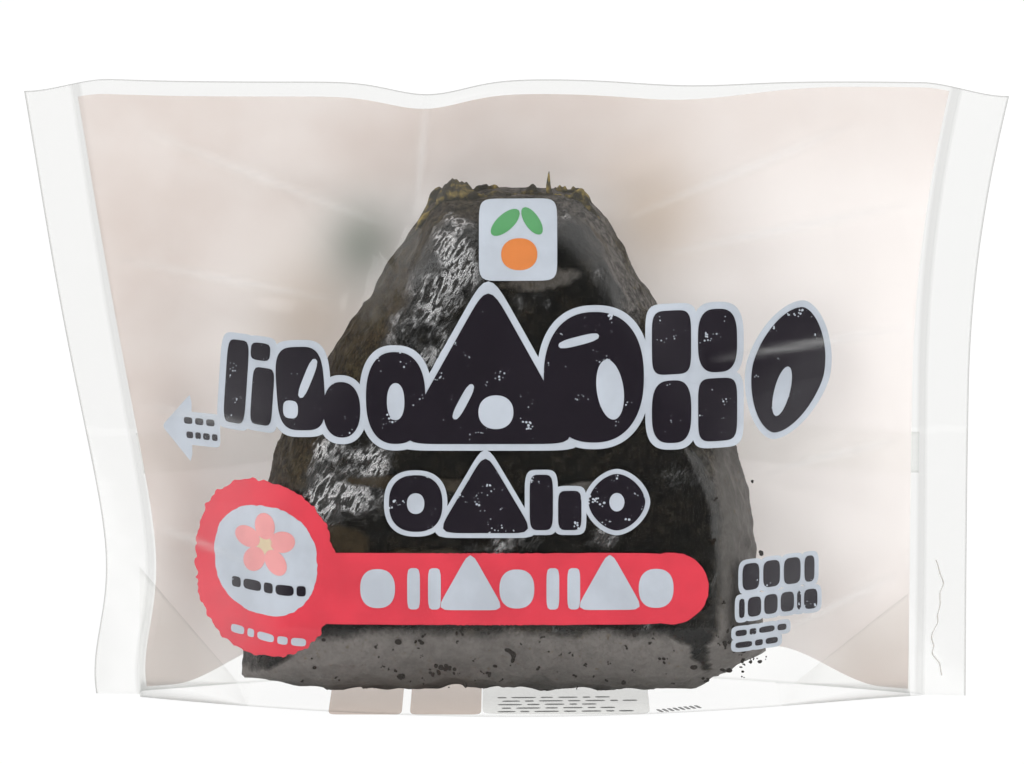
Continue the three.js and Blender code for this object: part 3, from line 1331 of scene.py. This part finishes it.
@dataclass
class RiceBall:
    """The nori-wrapped rice ball: two flat faces joined by a full rim, with rice under nori."""

    form: PackForm
    centre_z: float = 36.0
    lift: float = 0.8
    rim: float = 10.5
    lower_rim: float = 20.0
    flat: float = 0.30
    gap: float = 0.44
    corner_power: float = 34.0
    base_power: float = 34.0
    cuts: tuple[tuple[float, float], ...] = ((-63.4, 14.3), (-101.8, 6.2))
    around: int = 410
    across: int = 210
    lump: float = 0.32
    wrinkle: float = 0.55
    grain: float = 0.08
    low_band: tuple[float, float] = (14.0, 16.5)
    side_band: tuple[float, float] = (34.4, 35.8)
    side_band_top: tuple[float, float] = (46.0, 52.0)
    lifted: tuple[float, float] = (0.9, 1.9)

    def radius(self, angle: Array) -> Array:
        """Return the distance from the ball's centre to its outline in each direction.

        The outline is where the gauge is 1, and it is closed below by the flat base. Along a
        ray the gauge rises steadily, so halving steps find the crossing.

        Args:
            angle: Directions, anticlockwise from +X.

        Returns:
            The distance in each direction.
        """
        low = np.full(angle.shape, 10.0)
        high = np.full(angle.shape, 80.0)
        for _ in range(26):
            middle = (low + high) / 2.0
            x = self.form.outline.middle + middle * np.cos(angle)
            z = self.centre_z + middle * np.sin(angle)
            sides = self.form.outline.gauge(x, np.maximum(z, 0.0), 0.3, self.corner_power)
            down = ((self.centre_z - z) / (self.centre_z - self.lift)).clip(0.0)
            total = sides**self.base_power + down**self.base_power
            for turn, distance in self.cuts:
                along = math.cos(math.radians(turn)) * (x - self.form.outline.middle)
                cut = (along + math.sin(math.radians(turn)) * z) / distance
                total = total + cut.clip(0.0) ** self.base_power
            outside = total > 1.0
            high = np.where(outside, middle, high)
            low = np.where(outside, low, middle)
        return low

    def build(self, material: Material) -> Piece:
        """Make the ball.

        Around it, an angle turns about the ball's centre. Across it, a profile runs from the
        middle of the front face outwards, round the rim as half an ellipse, and over the
        back face. The faces lie just inside the film. The gap to the film says how dry the
        nori looks.

        Args:
            material: The nori's material.

        Returns:
            The ball's piece.
        """
        angle = np.linspace(0.0, 2.0 * math.pi, self.around, endpoint=False)[:, None]
        radius = self.radius(angle)
        down = np.clip(-np.sin(angle), 0.0, 1.0)
        rim = self.rim + (self.lower_rim - self.rim) * smooth(down, 0.15, 0.85)
        turn = np.linspace(0.0, 1.0, self.across)[None, :]
        on_face = np.clip(np.minimum(turn, 1.0 - turn) / self.flat, 0.0, 1.0)
        bend = np.clip((turn - self.flat) / (1.0 - 2.0 * self.flat), 0.0, 1.0) * math.pi
        reach = (radius - rim) * on_face + rim * np.sin(bend)
        x = self.form.outline.middle + reach * np.cos(angle)
        z = self.centre_z + reach * np.sin(angle)
        half = self.form.face_depth(x, z) - self.gap
        y = self.form.sway(x, z) * 0.4 - half * np.cos(bend)
        x, y, z = self.relief(x, y, z, angle, bend)
        front_film = self.form.panel(x, z, Side.FRONT)
        back_film = self.form.panel(x, z, Side.BACK) - self.form.seam(z)
        y = np.clip(y, front_film + self.gap, back_film - self.gap)
        gap = np.minimum(y - front_film, back_film - y)
        rings = np.stack([x, y, z], axis=-1)
        middle = rings[:, [0, -1]].mean(axis=0)
        rings = rings[:, 1:-1]
        count = rings.shape[1]
        ring = np.arange(self.around)
        after = (ring + 1) % self.around
        total = self.around * count
        quads = grid_quads(self.around, count, True, False)[:, ::-1]
        front_fan = np.stack([ring * count, after * count, np.full(self.around, total)], axis=-1)
        last = count - 1
        back_fan = np.stack([after * count + last, ring * count + last,
                             np.full(self.around, total + 1)], axis=-1)
        points = np.concatenate([rings.reshape(-1, 3), middle])
        faces = [quads, front_fan, back_fan]
        masks = {
            name: np.append(mask[:, 1:-1].ravel(), [0.0, 0.0])
            for name, mask in self.masks(x, y, z, gap).items()
        }
        return build_piece("nori_rice_ball", points, faces, material, Slot.NORI, masks)

    def masks(self, x: Array, y: Array, z: Array, gap: Array) -> dict[str, Array]:
        """Return the numbers that the nori's material reads at each point.

        Args:
            x: Places along the pack.
            y: Places in depth.
            z: Heights.
            gap: Distance to the film.

        Returns:
            dry, where the film stands off the nori; plain, where the dry nori is smooth and
            even, low down, at the right side and in a few patches; rumple, where the nori
            crumples along the left edge of the front face.
        """
        warp = Noise(25, 4.0).at(x, y, z)
        front = y < 0.0
        ragged = z + 1.0 * Noise(27, 5.0).at(x, y, z)
        low_band = 1.0 - smooth(ragged, *self.low_band)
        side_band = smooth(x + 0.9 * Noise(28, 5.0).at(x, y, z), *self.side_band)
        side_band = side_band * (1.0 - smooth(ragged, *self.side_band_top))
        # Patches of bare nori colour on the front face, a painted soft reflection of the film.
        patches = np.maximum.reduce([0.8 * patch.share(x, z, warp) * front for patch in DRY_SHEEN_PATCHES])
        wedges = np.maximum.reduce([wedge.share(x, z, warp) * front for wedge in DARK_WEDGES])
        plain = np.maximum.reduce([low_band, side_band, patches]) * (1.0 - wedges)
        lifted = smooth(gap + 0.5 * warp, *self.lifted) * (1.0 - wedges)
        out = self.form.outline.gauge(x, z, self.form.face_inset)
        rumple = hill(out - 0.93, 0.20) * (1.0 - smooth(x, -12.0, 6.0)) * smooth(z, 17.0, 24.0) * front
        return {"dry": np.maximum(lifted, plain), "plain": plain, "rumple": rumple}

    def relief(self, x: Array, y: Array, z: Array, angle: Array, bend: Array) -> tuple:
        """Push the ball's points inwards for the rice grains' lumps and the nori's wrinkles.

        Args:
            x: Places along the pack.
            y: Places in depth.
            z: Heights.
            angle: Directions about the ball's centre.
            bend: Turn round the rim, 0 at the front face and pi at the back one.

        Returns:
            The moved x, y and z.
        """
        lumps = Noise(21, 5.2).at(x, y, z) + 0.6 * Noise(22, 2.6).at(x, y, z)
        pleats = Noise(23, 3.4).ridges(x + 0.5 * z, y * 0.45, z * 0.5 - 0.35 * x) ** 2
        grain = Noise(24, 0.95).at(x, y, z)
        push = self.lump * (lumps + 1.2) + self.wrinkle * (1.0 - pleats) + self.grain * (grain + 1.0)
        rim_share = np.sin(bend)
        push = push * (0.40 + 0.95 * rim_share)
        x = x - push * rim_share * np.cos(angle)
        z = np.maximum(z - push * rim_share * np.sin(angle), self.lift)
        y = y + push * np.cos(bend)
        return x, y, z


@dataclass(frozen=True)
class Spike:
    """A torn piece of nori that stands up from the ball's top edge."""

    share: float
    height: float
    width: float


@dataclass
class NoriFrill:
    """The torn upper edge of the nori sheet: a ragged strip along the ball's top."""

    form: PackForm
    name: str
    depth: float
    seed: int
    spikes: tuple[Spike, ...]
    low: float = 3.2
    ragged: float = 0.75
    along: int = 300
    up: int = 12
    thickness: float = 0.10
    cells: tuple[float, ...] = (1.6, 0.45, 4.0, 1.5, 2.0)

    def path(self, s: Array) -> tuple[Array, Array]:
        """Follow the ball's top edge: up the left corner, across and down again.

        Args:
            s: Shares of the way along.

        Returns:
            The edge's x and z.
        """
        x = -18.6 + 35.2 * s
        corner_drop = 9.0 * np.clip((-11.5 - x) / 8.0, 0.0, 1.0) ** 1.3
        corner_drop = corner_drop + 9.0 * np.clip((x - 10.5) / 7.0, 0.0, 1.0) ** 1.4
        return x, 89.2 - corner_drop

    def build(self, material: Material) -> Piece:
        """Make the strip.

        Along it the height is a ragged noise plus the spikes, each a narrow bell. Up it the
        strip curls to and fro, more towards its free edge.

        Args:
            material: The torn edge's material.

        Returns:
            The strip's piece.
        """
        s = np.linspace(0.0, 1.0, self.along)[:, None]
        t = np.linspace(0.0, 1.0, self.up)[None, :]
        x, z = self.path(s)
        noises = [Noise(self.seed + number, cell) for number, cell in enumerate(self.cells)]
        rough = noises[0].at(x, 0.0, 0.0) + 0.6 * noises[1].at(x, 3.0, 0.0)
        height = self.ragged * (0.75 + 0.75 * rough)
        for spike in self.spikes:
            height = height + spike.height * hill(s - spike.share, spike.width)
        height = np.maximum(height, 0.1) * np.sin(math.pi * s) ** 0.15
        rise = -self.low + t * (self.low + height)
        curl = 0.9 * noises[2].at(x, rise, 0.0) + 0.4 * noises[3].at(x, rise, 9.0)
        lean = 0.35 * noises[4].at(x, rise, 5.0)
        grids = (x + lean * t, self.depth + curl * t, z + rise)
        masks = {"thin": smooth(rise, -0.9, 0.7)}
        piece = build_sheet(self.name, grids, material, Slot.NORI_EDGE, masks)
        solid = piece.modifiers.new("thickness", "SOLIDIFY")
        solid.thickness = self.thickness * MM
        solid.offset = 0.0
        return piece


@dataclass(frozen=True)
class Shape:
    """A printed shape that is seen whole from a point inside it.

    It is a superellipse |a|^power + |b|^power = 1 with half sizes wide and tall, turned by
    tilt degrees, or a rounded polygon where corners is set. A rough edge adds small notches.
    """

    x: float
    z: float
    wide: float
    tall: float
    power: float = 2.0
    tilt: float = 0.0
    corners: int = 0
    rough: float = 0.0

    def radius(self, angle: Array, grow: float) -> Array:
        """Return the distance from the shape's middle to its edge.

        Args:
            angle: Directions, before the shape is tilted.
            grow: How far the edge is moved out.

        Returns:
            The distance in each direction.
        """
        wide = self.wide + grow
        tall = self.tall + grow
        a = np.cos(angle) / wide
        b = np.sin(angle) / tall
        if self.corners:
            total = np.zeros(angle.shape)
            for side in range(self.corners):
                normal = math.radians(-90.0 + 360.0 * side / self.corners)
                total = total + np.maximum(a * math.cos(normal) + b * math.sin(normal), 0.0) ** self.power
            edge = total ** (-1.0 / self.power)
        else:
            edge = (np.abs(a) ** self.power + np.abs(b) ** self.power) ** (-1.0 / self.power)
        if self.rough:
            edge = edge + self.rough * Noise(31, 0.7).at(np.cos(angle) * wide, 0.0, np.sin(angle) * tall)
        return edge


@dataclass(frozen=True)
class Motif:
    """Printed shapes that share a layer and an ink and make one piece.

    Layers count from the deepest one, 0, towards the film. Every edge is moved out by grow,
    which gives a pale rim under darker ink.
    """

    name: str
    shapes: list[Shape]
    layer: float
    ink: str
    grow: float = 0.0


@dataclass
class FilmPrint:
    """Printed shapes on the inside of the film, in layers that don't touch."""

    form: PackForm
    layer_step: float = 0.06
    first_layer: float = 0.30
    spacing: float = 0.40
    stagger: float = 0.07

    def surface(self, x: Array, z: Array, inside: float) -> Array:
        """Return points that lie inside the front film by a distance."""
        return np.stack([x, self.form.panel(x, z, Side.FRONT, inside), z], axis=-1)

    def patch(self, shape: Shape, layer: float, grow: float) -> tuple[Array, list[Array]]:
        """Make one shape as rings from its middle to its edge.

        Args:
            shape: The shape.
            layer: Layers from the deepest one, 0, towards the film.
            grow: How far its edge is moved out.

        Returns:
            Its points, and its middle triangles and quads.
        """
        size = max(shape.wide, shape.tall) + grow
        rings = max(2, math.ceil(size / self.spacing))
        around = 4 * max(6, math.ceil(1.3 * size / self.spacing))
        angle = np.linspace(0.0, 2.0 * math.pi, around, endpoint=False)[None, :]
        share = np.linspace(0.0, 1.0, rings + 1)[1:, None]
        reach = shape.radius(angle, grow) * share
        tilt = math.radians(shape.tilt)
        x = np.concatenate([[shape.x], (shape.x + reach * np.cos(angle + tilt)).ravel()])
        z = np.concatenate([[shape.z], (shape.z + reach * np.sin(angle + tilt)).ravel()])
        step = np.arange(around)
        after = (step + 1) % around
        middle = np.stack([np.zeros(around, int), 1 + step, 1 + after], axis=-1)
        quads = grid_quads(rings, around, False, True) + 1
        inside = self.first_layer - layer * self.layer_step
        return self.surface(x, z, inside), [middle, quads]

    def build(self, motif: Motif, inks: dict[str, tuple[Material, Slot]]) -> Piece:
        """Make one motif as a piece.

        Args:
            motif: The motif.
            inks: Each ink's material and slot, by the ink's name.

        Returns:
            The piece.
        """
        points = []
        faces = []
        start = 0
        for number, shape in enumerate(motif.shapes):
            layer = motif.layer + self.stagger * (number % 5)
            patch, groups = self.patch(shape, layer, motif.grow)
            faces.extend(group + start for group in groups)
            points.append(patch)
            start += len(patch)
        return build_piece(motif.name, np.concatenate(points), faces, *inks[motif.ink])


@dataclass
class BasePrint(FilmPrint):
    """Printed shapes on the base film. A shape's z is its place in depth, along Y."""

    def surface(self, x: Array, z: Array, inside: float) -> Array:
        """Return points that lie above the base film by a distance."""
        return np.stack([x, z, np.full(x.shape, inside)], axis=-1)


@dataclass
class SealWrinkle:
    """A thin wavy line in the right seal, where its two layers have come apart a little."""

    form: PackForm
    low: float = 3.5
    high: float = 24.0
    middle: float = 5.4
    wave: float = 1.3
    half_width: float = 0.11
    steps: int = 120

    def build(self, material: Material) -> Piece:
        """Make the line: a ribbon between the seal's layers that wanders with a noise.

        Args:
            material: The line's material.

        Returns:
            The line's piece.
        """
        z = np.linspace(self.low, self.high, self.steps)[:, None]
        wander = Noise(41, 5.0).at(0.0, 0.0, z) + 0.4 * Noise(42, 1.8).at(0.0, 0.0, z)
        side = np.array([[-1.0, 1.0]]) * self.half_width
        x = self.form.right_edge(z) - self.middle + self.wave * wander + side
        z = z + 0.4 * side
        return build_sheet("seal_wrinkle", (x, self.form.sway(x, z), z), material, Slot.FILM)


@dataclass(frozen=True)
class LooseFlakes:
    """Small flakes of nori that stick to the inside of the front film, low down and at a side."""

    seed: int = 51
    count: int = 96
    corner_count: int = 12

    def shapes(self) -> list[Shape]:
        """Scatter clumps of small rough shapes, most of them in the low band.

        The last ones lie at the ball's lower right corner, where the nori is torn.

        Returns:
            The flakes.
        """
        draw = np.random.default_rng(self.seed)
        found = []
        for number in range(self.count + self.corner_count):
            if number >= self.count:
                x, z = draw.normal(41.6, 1.3), draw.normal(9.8, 0.9)
            elif draw.random() < 0.8:
                x, z = draw.uniform(-38.0, 40.0), draw.uniform(5.0, 15.5)
            else:
                x, z = draw.uniform(33.0, 43.0), draw.uniform(12.0, 45.0)
            size = 0.15 + 0.50 * draw.random() ** 3
            for _ in range(1 + draw.integers(0, 4)):
                wide = size * draw.uniform(0.5, 1.1)
                tall = size * draw.uniform(0.35, 0.9)
                dx, dz = draw.normal(0.0, 0.9 * size, 2)
                turn = draw.uniform(0, 180)
                found.append(Shape(x + dx, z + dz, wide, tall, 2.0, turn, rough=0.22 * size))
        return found


@dataclass(frozen=True)
class Studio:
    """A pale floor, a pale surround, soft boxes and the camera."""

    distance: float = 0.90
    elevation: float = 10.0
    lens: float = 181.0
    target: tuple[float, float, float] = (-0.00044, 0.0, 0.0560)
    near_floor: float = 0.085

    def camera(self) -> None:
        """Place the camera at the photograph's viewing angle."""
        data = bpy.data.cameras.new("camera")
        data.lens = self.lens
        data.sensor_width = 36.0
        data.clip_start = 0.01
        camera = bpy.data.objects.new("camera", data)
        bpy.context.scene.collection.objects.link(camera)
        rise = math.radians(self.elevation)
        offset = Vector((0.0, -math.cos(rise), math.sin(rise))) * self.distance
        camera.location = Vector(self.target) + offset
        camera.rotation_euler = (-offset).to_track_quat("-Z", "Y").to_euler()
        bpy.context.scene.camera = camera

    def floor(self, name: str, front: float, back: float, mirrored: bool) -> None:
        """Lay a strip of pale floor.

        Args:
            name: The strip's name.
            front: Y of its front edge.
            back: Y of its back edge.
            mirrored: Whether gloss shows it. The far strip in front stays out of it, so that
                the face of the pack mirrors a dark room.
        """
        side = 4.0
        mesh = bpy.data.meshes.new(name)
        corners = [(-side, front, 0.0), (side, front, 0.0), (side, back, 0.0), (-side, back, 0.0)]
        mesh.from_pydata(corners, [], [(0, 1, 2, 3)])
        floor = bpy.data.objects.new(name, mesh)
        bpy.context.scene.collection.objects.link(floor)
        floor.visible_glossy = mirrored
        material, nodes = new_material(name)
        place = nodes.add("TexCoord").outputs["Object"]
        cloud = nodes.add("TexNoise", {"Vector": place, "Scale": 9.0, "Detail": 2.0}).outputs[0]
        colour = nodes.mix(cloud, (0.93, 0.93, 0.93), (0.95, 0.95, 0.95))
        lit = nodes.principled({"Base Color": colour, "Roughness": 0.7, "Specular IOR Level": 0.1})
        white = nodes.principled({
            "Base Color": (0.05, 0.05, 0.05),
            "Roughness": 0.7,
            "Specular IOR Level": 0.0,
            "Emission Color": (1.0, 1.0, 1.0),
            "Emission Strength": 0.97,
        })
        seen = nodes.add("LightPath").outputs["Is Camera Ray"]
        nodes.output(nodes.shaders(seen, lit, white))
        mesh.materials.append(material)

    def world(self) -> None:
        """Surround the scene with near white to look at.

        Its light is bright from the sides and from behind, and falls off to a dark room
        straight in front of the pack.
        """
        world = bpy.data.worlds.new("world")
        bpy.context.scene.world = world
        world.use_nodes = True
        nodes = Nodes(world.node_tree)
        direction = nodes.add("TexCoord").outputs["Generated"]
        parts = nodes.add("SeparateXYZ", {0: direction}).outputs
        sideways = nodes.times(nodes.math("ABSOLUTE", parts["X"]), 0.28)
        room = nodes.ramp(nodes.plus(parts["Y"], sideways), -0.84, 0.02, 0.012, 1.0)
        background = nodes.add("Background", {"Color": (1.0, 1.0, 1.0), "Strength": room})
        nodes.add("OutputWorld", {"Surface": background.outputs[0]})

    def light(self, name: str, place: tuple[float, float, float], size: tuple[float, float],
              watts: float, mirrored: bool) -> None:
        """Hang a soft box that faces the pack and isn't seen itself.

        Args:
            name: The light's name.
            place: Where it hangs.
            size: Its width and height.
            watts: Its power.
            mirrored: Whether gloss shows it.
        """
        data = bpy.data.lights.new(name, "AREA")
        data.shape = "RECTANGLE"
        data.size, data.size_y = size
        data.energy = watts
        lamp = bpy.data.objects.new(name, data)
        bpy.context.scene.collection.objects.link(lamp)
        lamp.location = place
        aim = Vector((0.0, 0.0, 0.05)) - Vector(place)
        lamp.rotation_euler = aim.to_track_quat("-Z", "Y").to_euler()
        lamp.visible_camera = False
        lamp.visible_glossy = mirrored

    def build(self) -> None:
        """Build the whole stage."""
        self.camera()
        self.floor("floor", -self.near_floor, 4.0, True)
        self.floor("floor_ahead", -4.0, -self.near_floor, False)
        self.world()
        self.light("fill", (-0.50, -1.22, 0.50), (1.2, 1.0), 7.8, False)
        self.light("key", (0.62, -0.45, 0.55), (0.40, 0.30), 1.7, False)
        self.light("behind", (0.3, 0.90, 0.15), (1.2, 0.8), 3.4, False)
        self.light("right_box", (0.78, -0.72, 0.30), (0.45, 0.60), 0.6, False)
        self.light("sparkle", (-0.62, -0.55, 0.62), (0.30, 0.30), 0.55, True)
        bpy.context.scene.view_settings.view_transform = "Standard"


TITLE = [
    Shape(-48.2, 57.6, 1.9, 7.2, 6.0, -4.0),
    Shape(-43.6, 55.4, 1.9, 4.9, 6.0, -4.0),
    Shape(-43.9, 63.0, 1.7, 1.5, 4.0, -4.0),
    Shape(-36.9, 57.2, 4.2, 7.0, 3.6, 4.0),
    Shape(-29.7, 54.0, 3.2, 4.7, 2.3),
    Shape(-20.4, 56.2, 5.1, 7.9, 2.4),
    Shape(-4.5, 57.6, 9.0, 9.3, 6.0, 0.0, corners=3),
    Shape(13.6, 59.7, 8.6, 11.2, 2.3),
    Shape(27.0, 65.2, 3.4, 5.3, 5.0),
    Shape(35.0, 65.2, 3.4, 5.3, 3.0),
    Shape(27.0, 53.6, 3.4, 5.3, 3.0),
    Shape(35.0, 53.6, 3.4, 5.3, 5.0),
    Shape(47.4, 59.6, 6.4, 11.0, 1.7, -14.0),
]
TITLE_GAPS = [
    Shape(-20.4, 55.6, 1.5, 3.2, 2.2),
    Shape(-35.6, 59.0, 0.75, 3.6, 3.0, -22.0),
    Shape(-38.6, 53.6, 1.3, 1.5, 3.0),
    Shape(-3.2, 53.8, 3.0, 2.9, 2.2),
    Shape(-8.8, 55.6, 0.75, 3.4, 3.0, -28.0),
    Shape(11.0, 66.0, 3.6, 0.75, 3.0, 14.0),
    Shape(16.4, 57.6, 2.3, 5.2, 2.0, 8.0),
    Shape(46.3, 56.0, 1.4, 4.4, 2.0, -14.0),
    Shape(31.0, 59.4, 1.1, 1.2, 2.0),
    Shape(23.2, 58.6, 0.8, 1.0, 2.0),
]
SUBTITLE = [
    Shape(-17.0, 38.0, 4.6, 4.9, 2.4),
    Shape(-5.0, 37.6, 4.8, 4.7, 5.0, corners=3),
    Shape(4.6, 38.2, 2.0, 4.8, 5.0),
    Shape(9.5, 36.8, 2.0, 3.4, 5.0),
    Shape(17.6, 38.2, 4.9, 4.9, 1.7),
]
SUBTITLE_GAPS = [
    Shape(-17.0, 38.0, 1.5, 1.8, 2.2),
    Shape(17.6, 38.2, 1.3, 1.6, 2.0),
]
BADGE = [
    Shape(-43.4, 25.6, 12.4, 15.4, 2.3, rough=0.42),
    Shape(-4.5, 23.15, 32.6, 6.25, 12.0, rough=0.10),
    Shape(27.0, 23.15, 6.5, 6.25, 2.0, rough=0.10),
]
BADGE_ICON = [Shape(-43.2, 27.2, 9.2, 9.4, 2.3, rough=0.15)]


def blossom(x: float, z: float, reach: float) -> list[Shape]:
    """Set five petals round a point.

    Args:
        x: The point's place along the pack.
        z: Its height.
        reach: The petals' distance from it.

    Returns:
        The petals.
    """
    petals = []
    for number in range(5):
        turn = 18.0 + 72.0 * number
        dx, dz = math.cos(math.radians(turn)), math.sin(math.radians(turn))
        petals.append(Shape(x + reach * dx, z + reach * dz, 2.3, 1.8, 2.0, turn))
    return petals


def banner_shapes() -> list[Shape]:
    """Set the pale shapes along the banner: a disc, a pair of bars and a triangle in turn.

    Returns:
        The shapes.
    """
    shapes = []
    for number in range(7):
        x = -23.6 + 8.0 * number
        if number % 3 == 0:
            shapes.append(Shape(x, 23.2, 3.0, 3.4, 2.4))
        elif number % 3 == 1:
            shapes.append(Shape(x - 1.8, 23.2, 1.1, 3.6, 5.0))
            shapes.append(Shape(x + 1.8, 23.2, 1.1, 3.6, 5.0))
        else:
            shapes.append(Shape(x, 23.0, 3.4, 3.5, 5.0, corners=3))
    return shapes


def bar_row(x: float, z: float, wides: tuple[float, ...], tall: float, gap: float,
            tilt: float = 0.0) -> list[Shape]:
    """Return a row of small bars.

    Args:
        x: Where the row starts.
        z: Its middle height.
        wides: The bars' half widths.
        tall: Their half height.
        gap: The gap between neighbours.
        tilt: The row's slope in degrees.

    Returns:
        The bars.
    """
    shapes = []
    at = 0.0
    dx, dz = math.cos(math.radians(tilt)), math.sin(math.radians(tilt))
    for wide in wides:
        along = at + wide
        shapes.append(Shape(x + along * dx, z + along * dz, wide, tall, 4.0, tilt))
        at += 2.0 * wide + gap
    return shapes


def base_rows() -> list[Shape]:
    """Set the label's rows of small bars and a block of thin ones beside it.

    Returns:
        The bars.
    """
    wides = (1.6, 0.8, 2.2, 1.1, 1.8, 0.7, 1.3)
    rows = []
    for number in range(5):
        x = -3.0 + 0.8 * (number % 2)
        rows += bar_row(x, -14.0 + 2.6 * number, wides[number % 3:], 0.5, 0.8, 2.0)
    return rows + bar_row(25.0, -13.4, (0.35,) * 8, 1.2, 0.35, 24.0)


BADGE_BARS = bar_row(-49.2, 22.6, (0.8, 1.6, 0.8, 1.6, 0.8), 0.9, 0.5)
CAPTION = bar_row(-49.4, 14.4, (1.2, 0.6, 1.5, 0.9, 1.3), 0.75, 0.6, -4.0)
TILE = [Shape(0.6, 83.0, 6.7, 6.7, 8.0)]
TILE_LEAVES = [
    Shape(-1.6, 86.0, 3.0, 1.35, 2.0, 38.0),
    Shape(3.0, 86.2, 2.6, 1.2, 2.0, 128.0),
]
ARROW = [
    Shape(-58.0, 48.6, 3.7, 1.8, 9.0, 90.0, corners=3),
    Shape(-54.0, 48.6, 2.9, 3.0, 9.0),
]
ARROW_MARKS = (
    bar_row(-57.6, 50.0, (0.75, 0.75, 0.75), 0.6, 0.5)
    + bar_row(-57.2, 47.4, (0.6, 0.5, 0.6, 0.5), 0.6, 0.4)
)
PRICE = (
    bar_row(39.4, 24.5, (1.5, 1.5, 1.5, 0.9), 2.3, 0.7)
    + bar_row(38.8, 19.2, (0.5, 1.2, 1.2, 1.2, 0.35, 1.2), 1.7, 0.55)
    + bar_row(38.2, 14.9, (1.0, 0.6, 1.4, 0.8), 0.55, 0.5)
    + bar_row(38.2, 12.7, (1.5, 0.7, 1.1), 0.55, 0.5)
)
FIELDS = [Shape(-26.0, -2.0, 6.4, 13.8, 14.0), Shape(-12.0, -2.0, 6.2, 13.8, 14.0)]

SEAM_FILM = FilmFinish("seam_film", tint=(0.95, 0.96, 0.945), haze=0.10, roughness=0.2)
PALE = (0.52, 0.565, 0.635)
INKS = (
    PrintFinish("ink_pale", Slot.INK_PALE, PALE),
    PrintFinish("ink_dark", Slot.INK_DARK, (0.013, 0.009, 0.016), PALE, 0.52),
    PrintFinish("ink_red", Slot.INK_RED, (0.74, 0.048, 0.078), (0.8, 0.4, 0.4), 0.05),
    PrintFinish("ink_pink", Slot.INK_ACCENT, (0.80, 0.34, 0.34)),
    PrintFinish("ink_cream", Slot.INK_ACCENT, (0.68, 0.56, 0.38)),
    PrintFinish("ink_green", Slot.INK_ACCENT, (0.10, 0.33, 0.13)),
    PrintFinish("ink_orange", Slot.INK_ACCENT, (0.72, 0.23, 0.06)),
    PrintFinish("nori_flake", Slot.NORI, (0.012, 0.008, 0.005), (0.05, 0.035, 0.01), 0.3),
    PrintFinish("seal_wrinkle", Slot.FILM, (0.50, 0.48, 0.44), thin=0.55),
    PrintFinish("ink_label", Slot.INK_PALE, (0.90, 0.90, 0.87), thin=0.7),
    PrintFinish("ink_beige", Slot.BACK_PRINT, (0.46, 0.30, 0.20), thin=0.72),
    PrintFinish("ink_thin_dark", Slot.INK_DARK, (0.05, 0.05, 0.05), (0.5, 0.5, 0.5), 0.3, thin=0.45),
)
FRONT_PRINT = (
    Motif("nori_flakes", LooseFlakes().shapes(), -0.95, "nori_flake"),
    Motif("title_rims", TITLE, 0, "ink_pale", 1.15),
    Motif("title_shapes", TITLE, 1, "ink_dark"),
    Motif("title_gaps", TITLE_GAPS, 2, "ink_pale"),
    Motif("subtitle_rims", SUBTITLE, 0, "ink_pale", 0.85),
    Motif("subtitle_shapes", SUBTITLE, 1, "ink_dark"),
    Motif("subtitle_gaps", SUBTITLE_GAPS, 2, "ink_pale"),
    Motif("badge_red", BADGE, 0.5, "ink_red"),
    Motif("banner_shapes", banner_shapes(), 1.5, "ink_pale"),
    Motif("badge_icon", BADGE_ICON, 1.5, "ink_pale"),
    Motif("badge_bars", BADGE_BARS, 2.5, "ink_dark"),
    Motif("badge_petals", blossom(-43.2, 29.8, 3.3), 2.5, "ink_pink"),
    Motif("badge_middle", [Shape(-43.2, 29.8, 1.5, 1.5)], 2.5, "ink_cream"),
    Motif("badge_caption", CAPTION, 1.5, "ink_pale"),
    Motif("tile", TILE, 0.5, "ink_pale"),
    Motif("tile_leaves", TILE_LEAVES, 1.5, "ink_green"),
    Motif("tile_fruit", [Shape(0.8, 80.8, 3.1, 2.7, 2.2)], 1.5, "ink_orange"),
    Motif("arrow", ARROW, 0.5, "ink_pale"),
    Motif("arrow_marks", ARROW_MARKS, 1.5, "ink_dark"),
    Motif("price_rims", PRICE, 0, "ink_pale", 0.75),
    Motif("price_shapes", PRICE, 1, "ink_dark"),
)
BASE_PRINT = (
    Motif("base_label", [Shape(9.0, -2.0, 14.6, 13.6, 14.0)], 0, "ink_label"),
    Motif("base_fields", FIELDS, 0, "ink_beige"),
    Motif("base_rows", base_rows(), -1.0, "ink_thin_dark"),
)
FRONT_SPIKES = (
    Spike(0.17, 1.5, 0.04),
    Spike(0.24, 2.2, 0.045),
    Spike(0.30, 1.3, 0.03),
    Spike(0.62, 1.4, 0.03),
    Spike(0.70, 4.4, 0.011),
    Spike(0.86, 1.5, 0.03),
)
BACK_SPIKES = (Spike(0.12, 1.6, 0.05), Spike(0.40, 1.0, 0.05), Spike(0.88, 1.4, 0.04))


def main() -> None:
    """Build the pack's pieces and the stage, in order, and report each piece."""
    logging.basicConfig(level=logging.INFO)
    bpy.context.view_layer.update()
    low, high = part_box(PACK_NODE)
    form = PackForm(half_width=(high.x - low.x) / 2.0 / MM, height=(high.z - low.z) / MM)

    wear = wear_group()
    crinkle = crinkle_group()
    inks = {ink.name: (ink.build(wear), ink.slot) for ink in INKS}
    torn = TornNoriFinish().build()
    FilmTube(form).build(FilmFinish("clear_film").build(crinkle))
    BackPrint(form).build(BackPrintFinish().build())
    BackSeam(form).build(SEAM_FILM.build(crinkle))
    SealWrinkle(form).build(inks["seal_wrinkle"][0])
    RiceBall(form).build(NoriFinish().build())
    NoriFrill(form, "nori_frill_front", -3.6, 61, FRONT_SPIKES).build(torn)
    NoriFrill(form, "nori_frill_back", 2.8, 71, BACK_SPIKES).build(torn)
    for motif in FRONT_PRINT:
        FilmPrint(form).build(motif, inks)
    for motif in BASE_PRINT:
        BasePrint(form, first_layer=0.15).build(motif, inks)

    Studio().build()


if __name__ == "__main__":
    main()
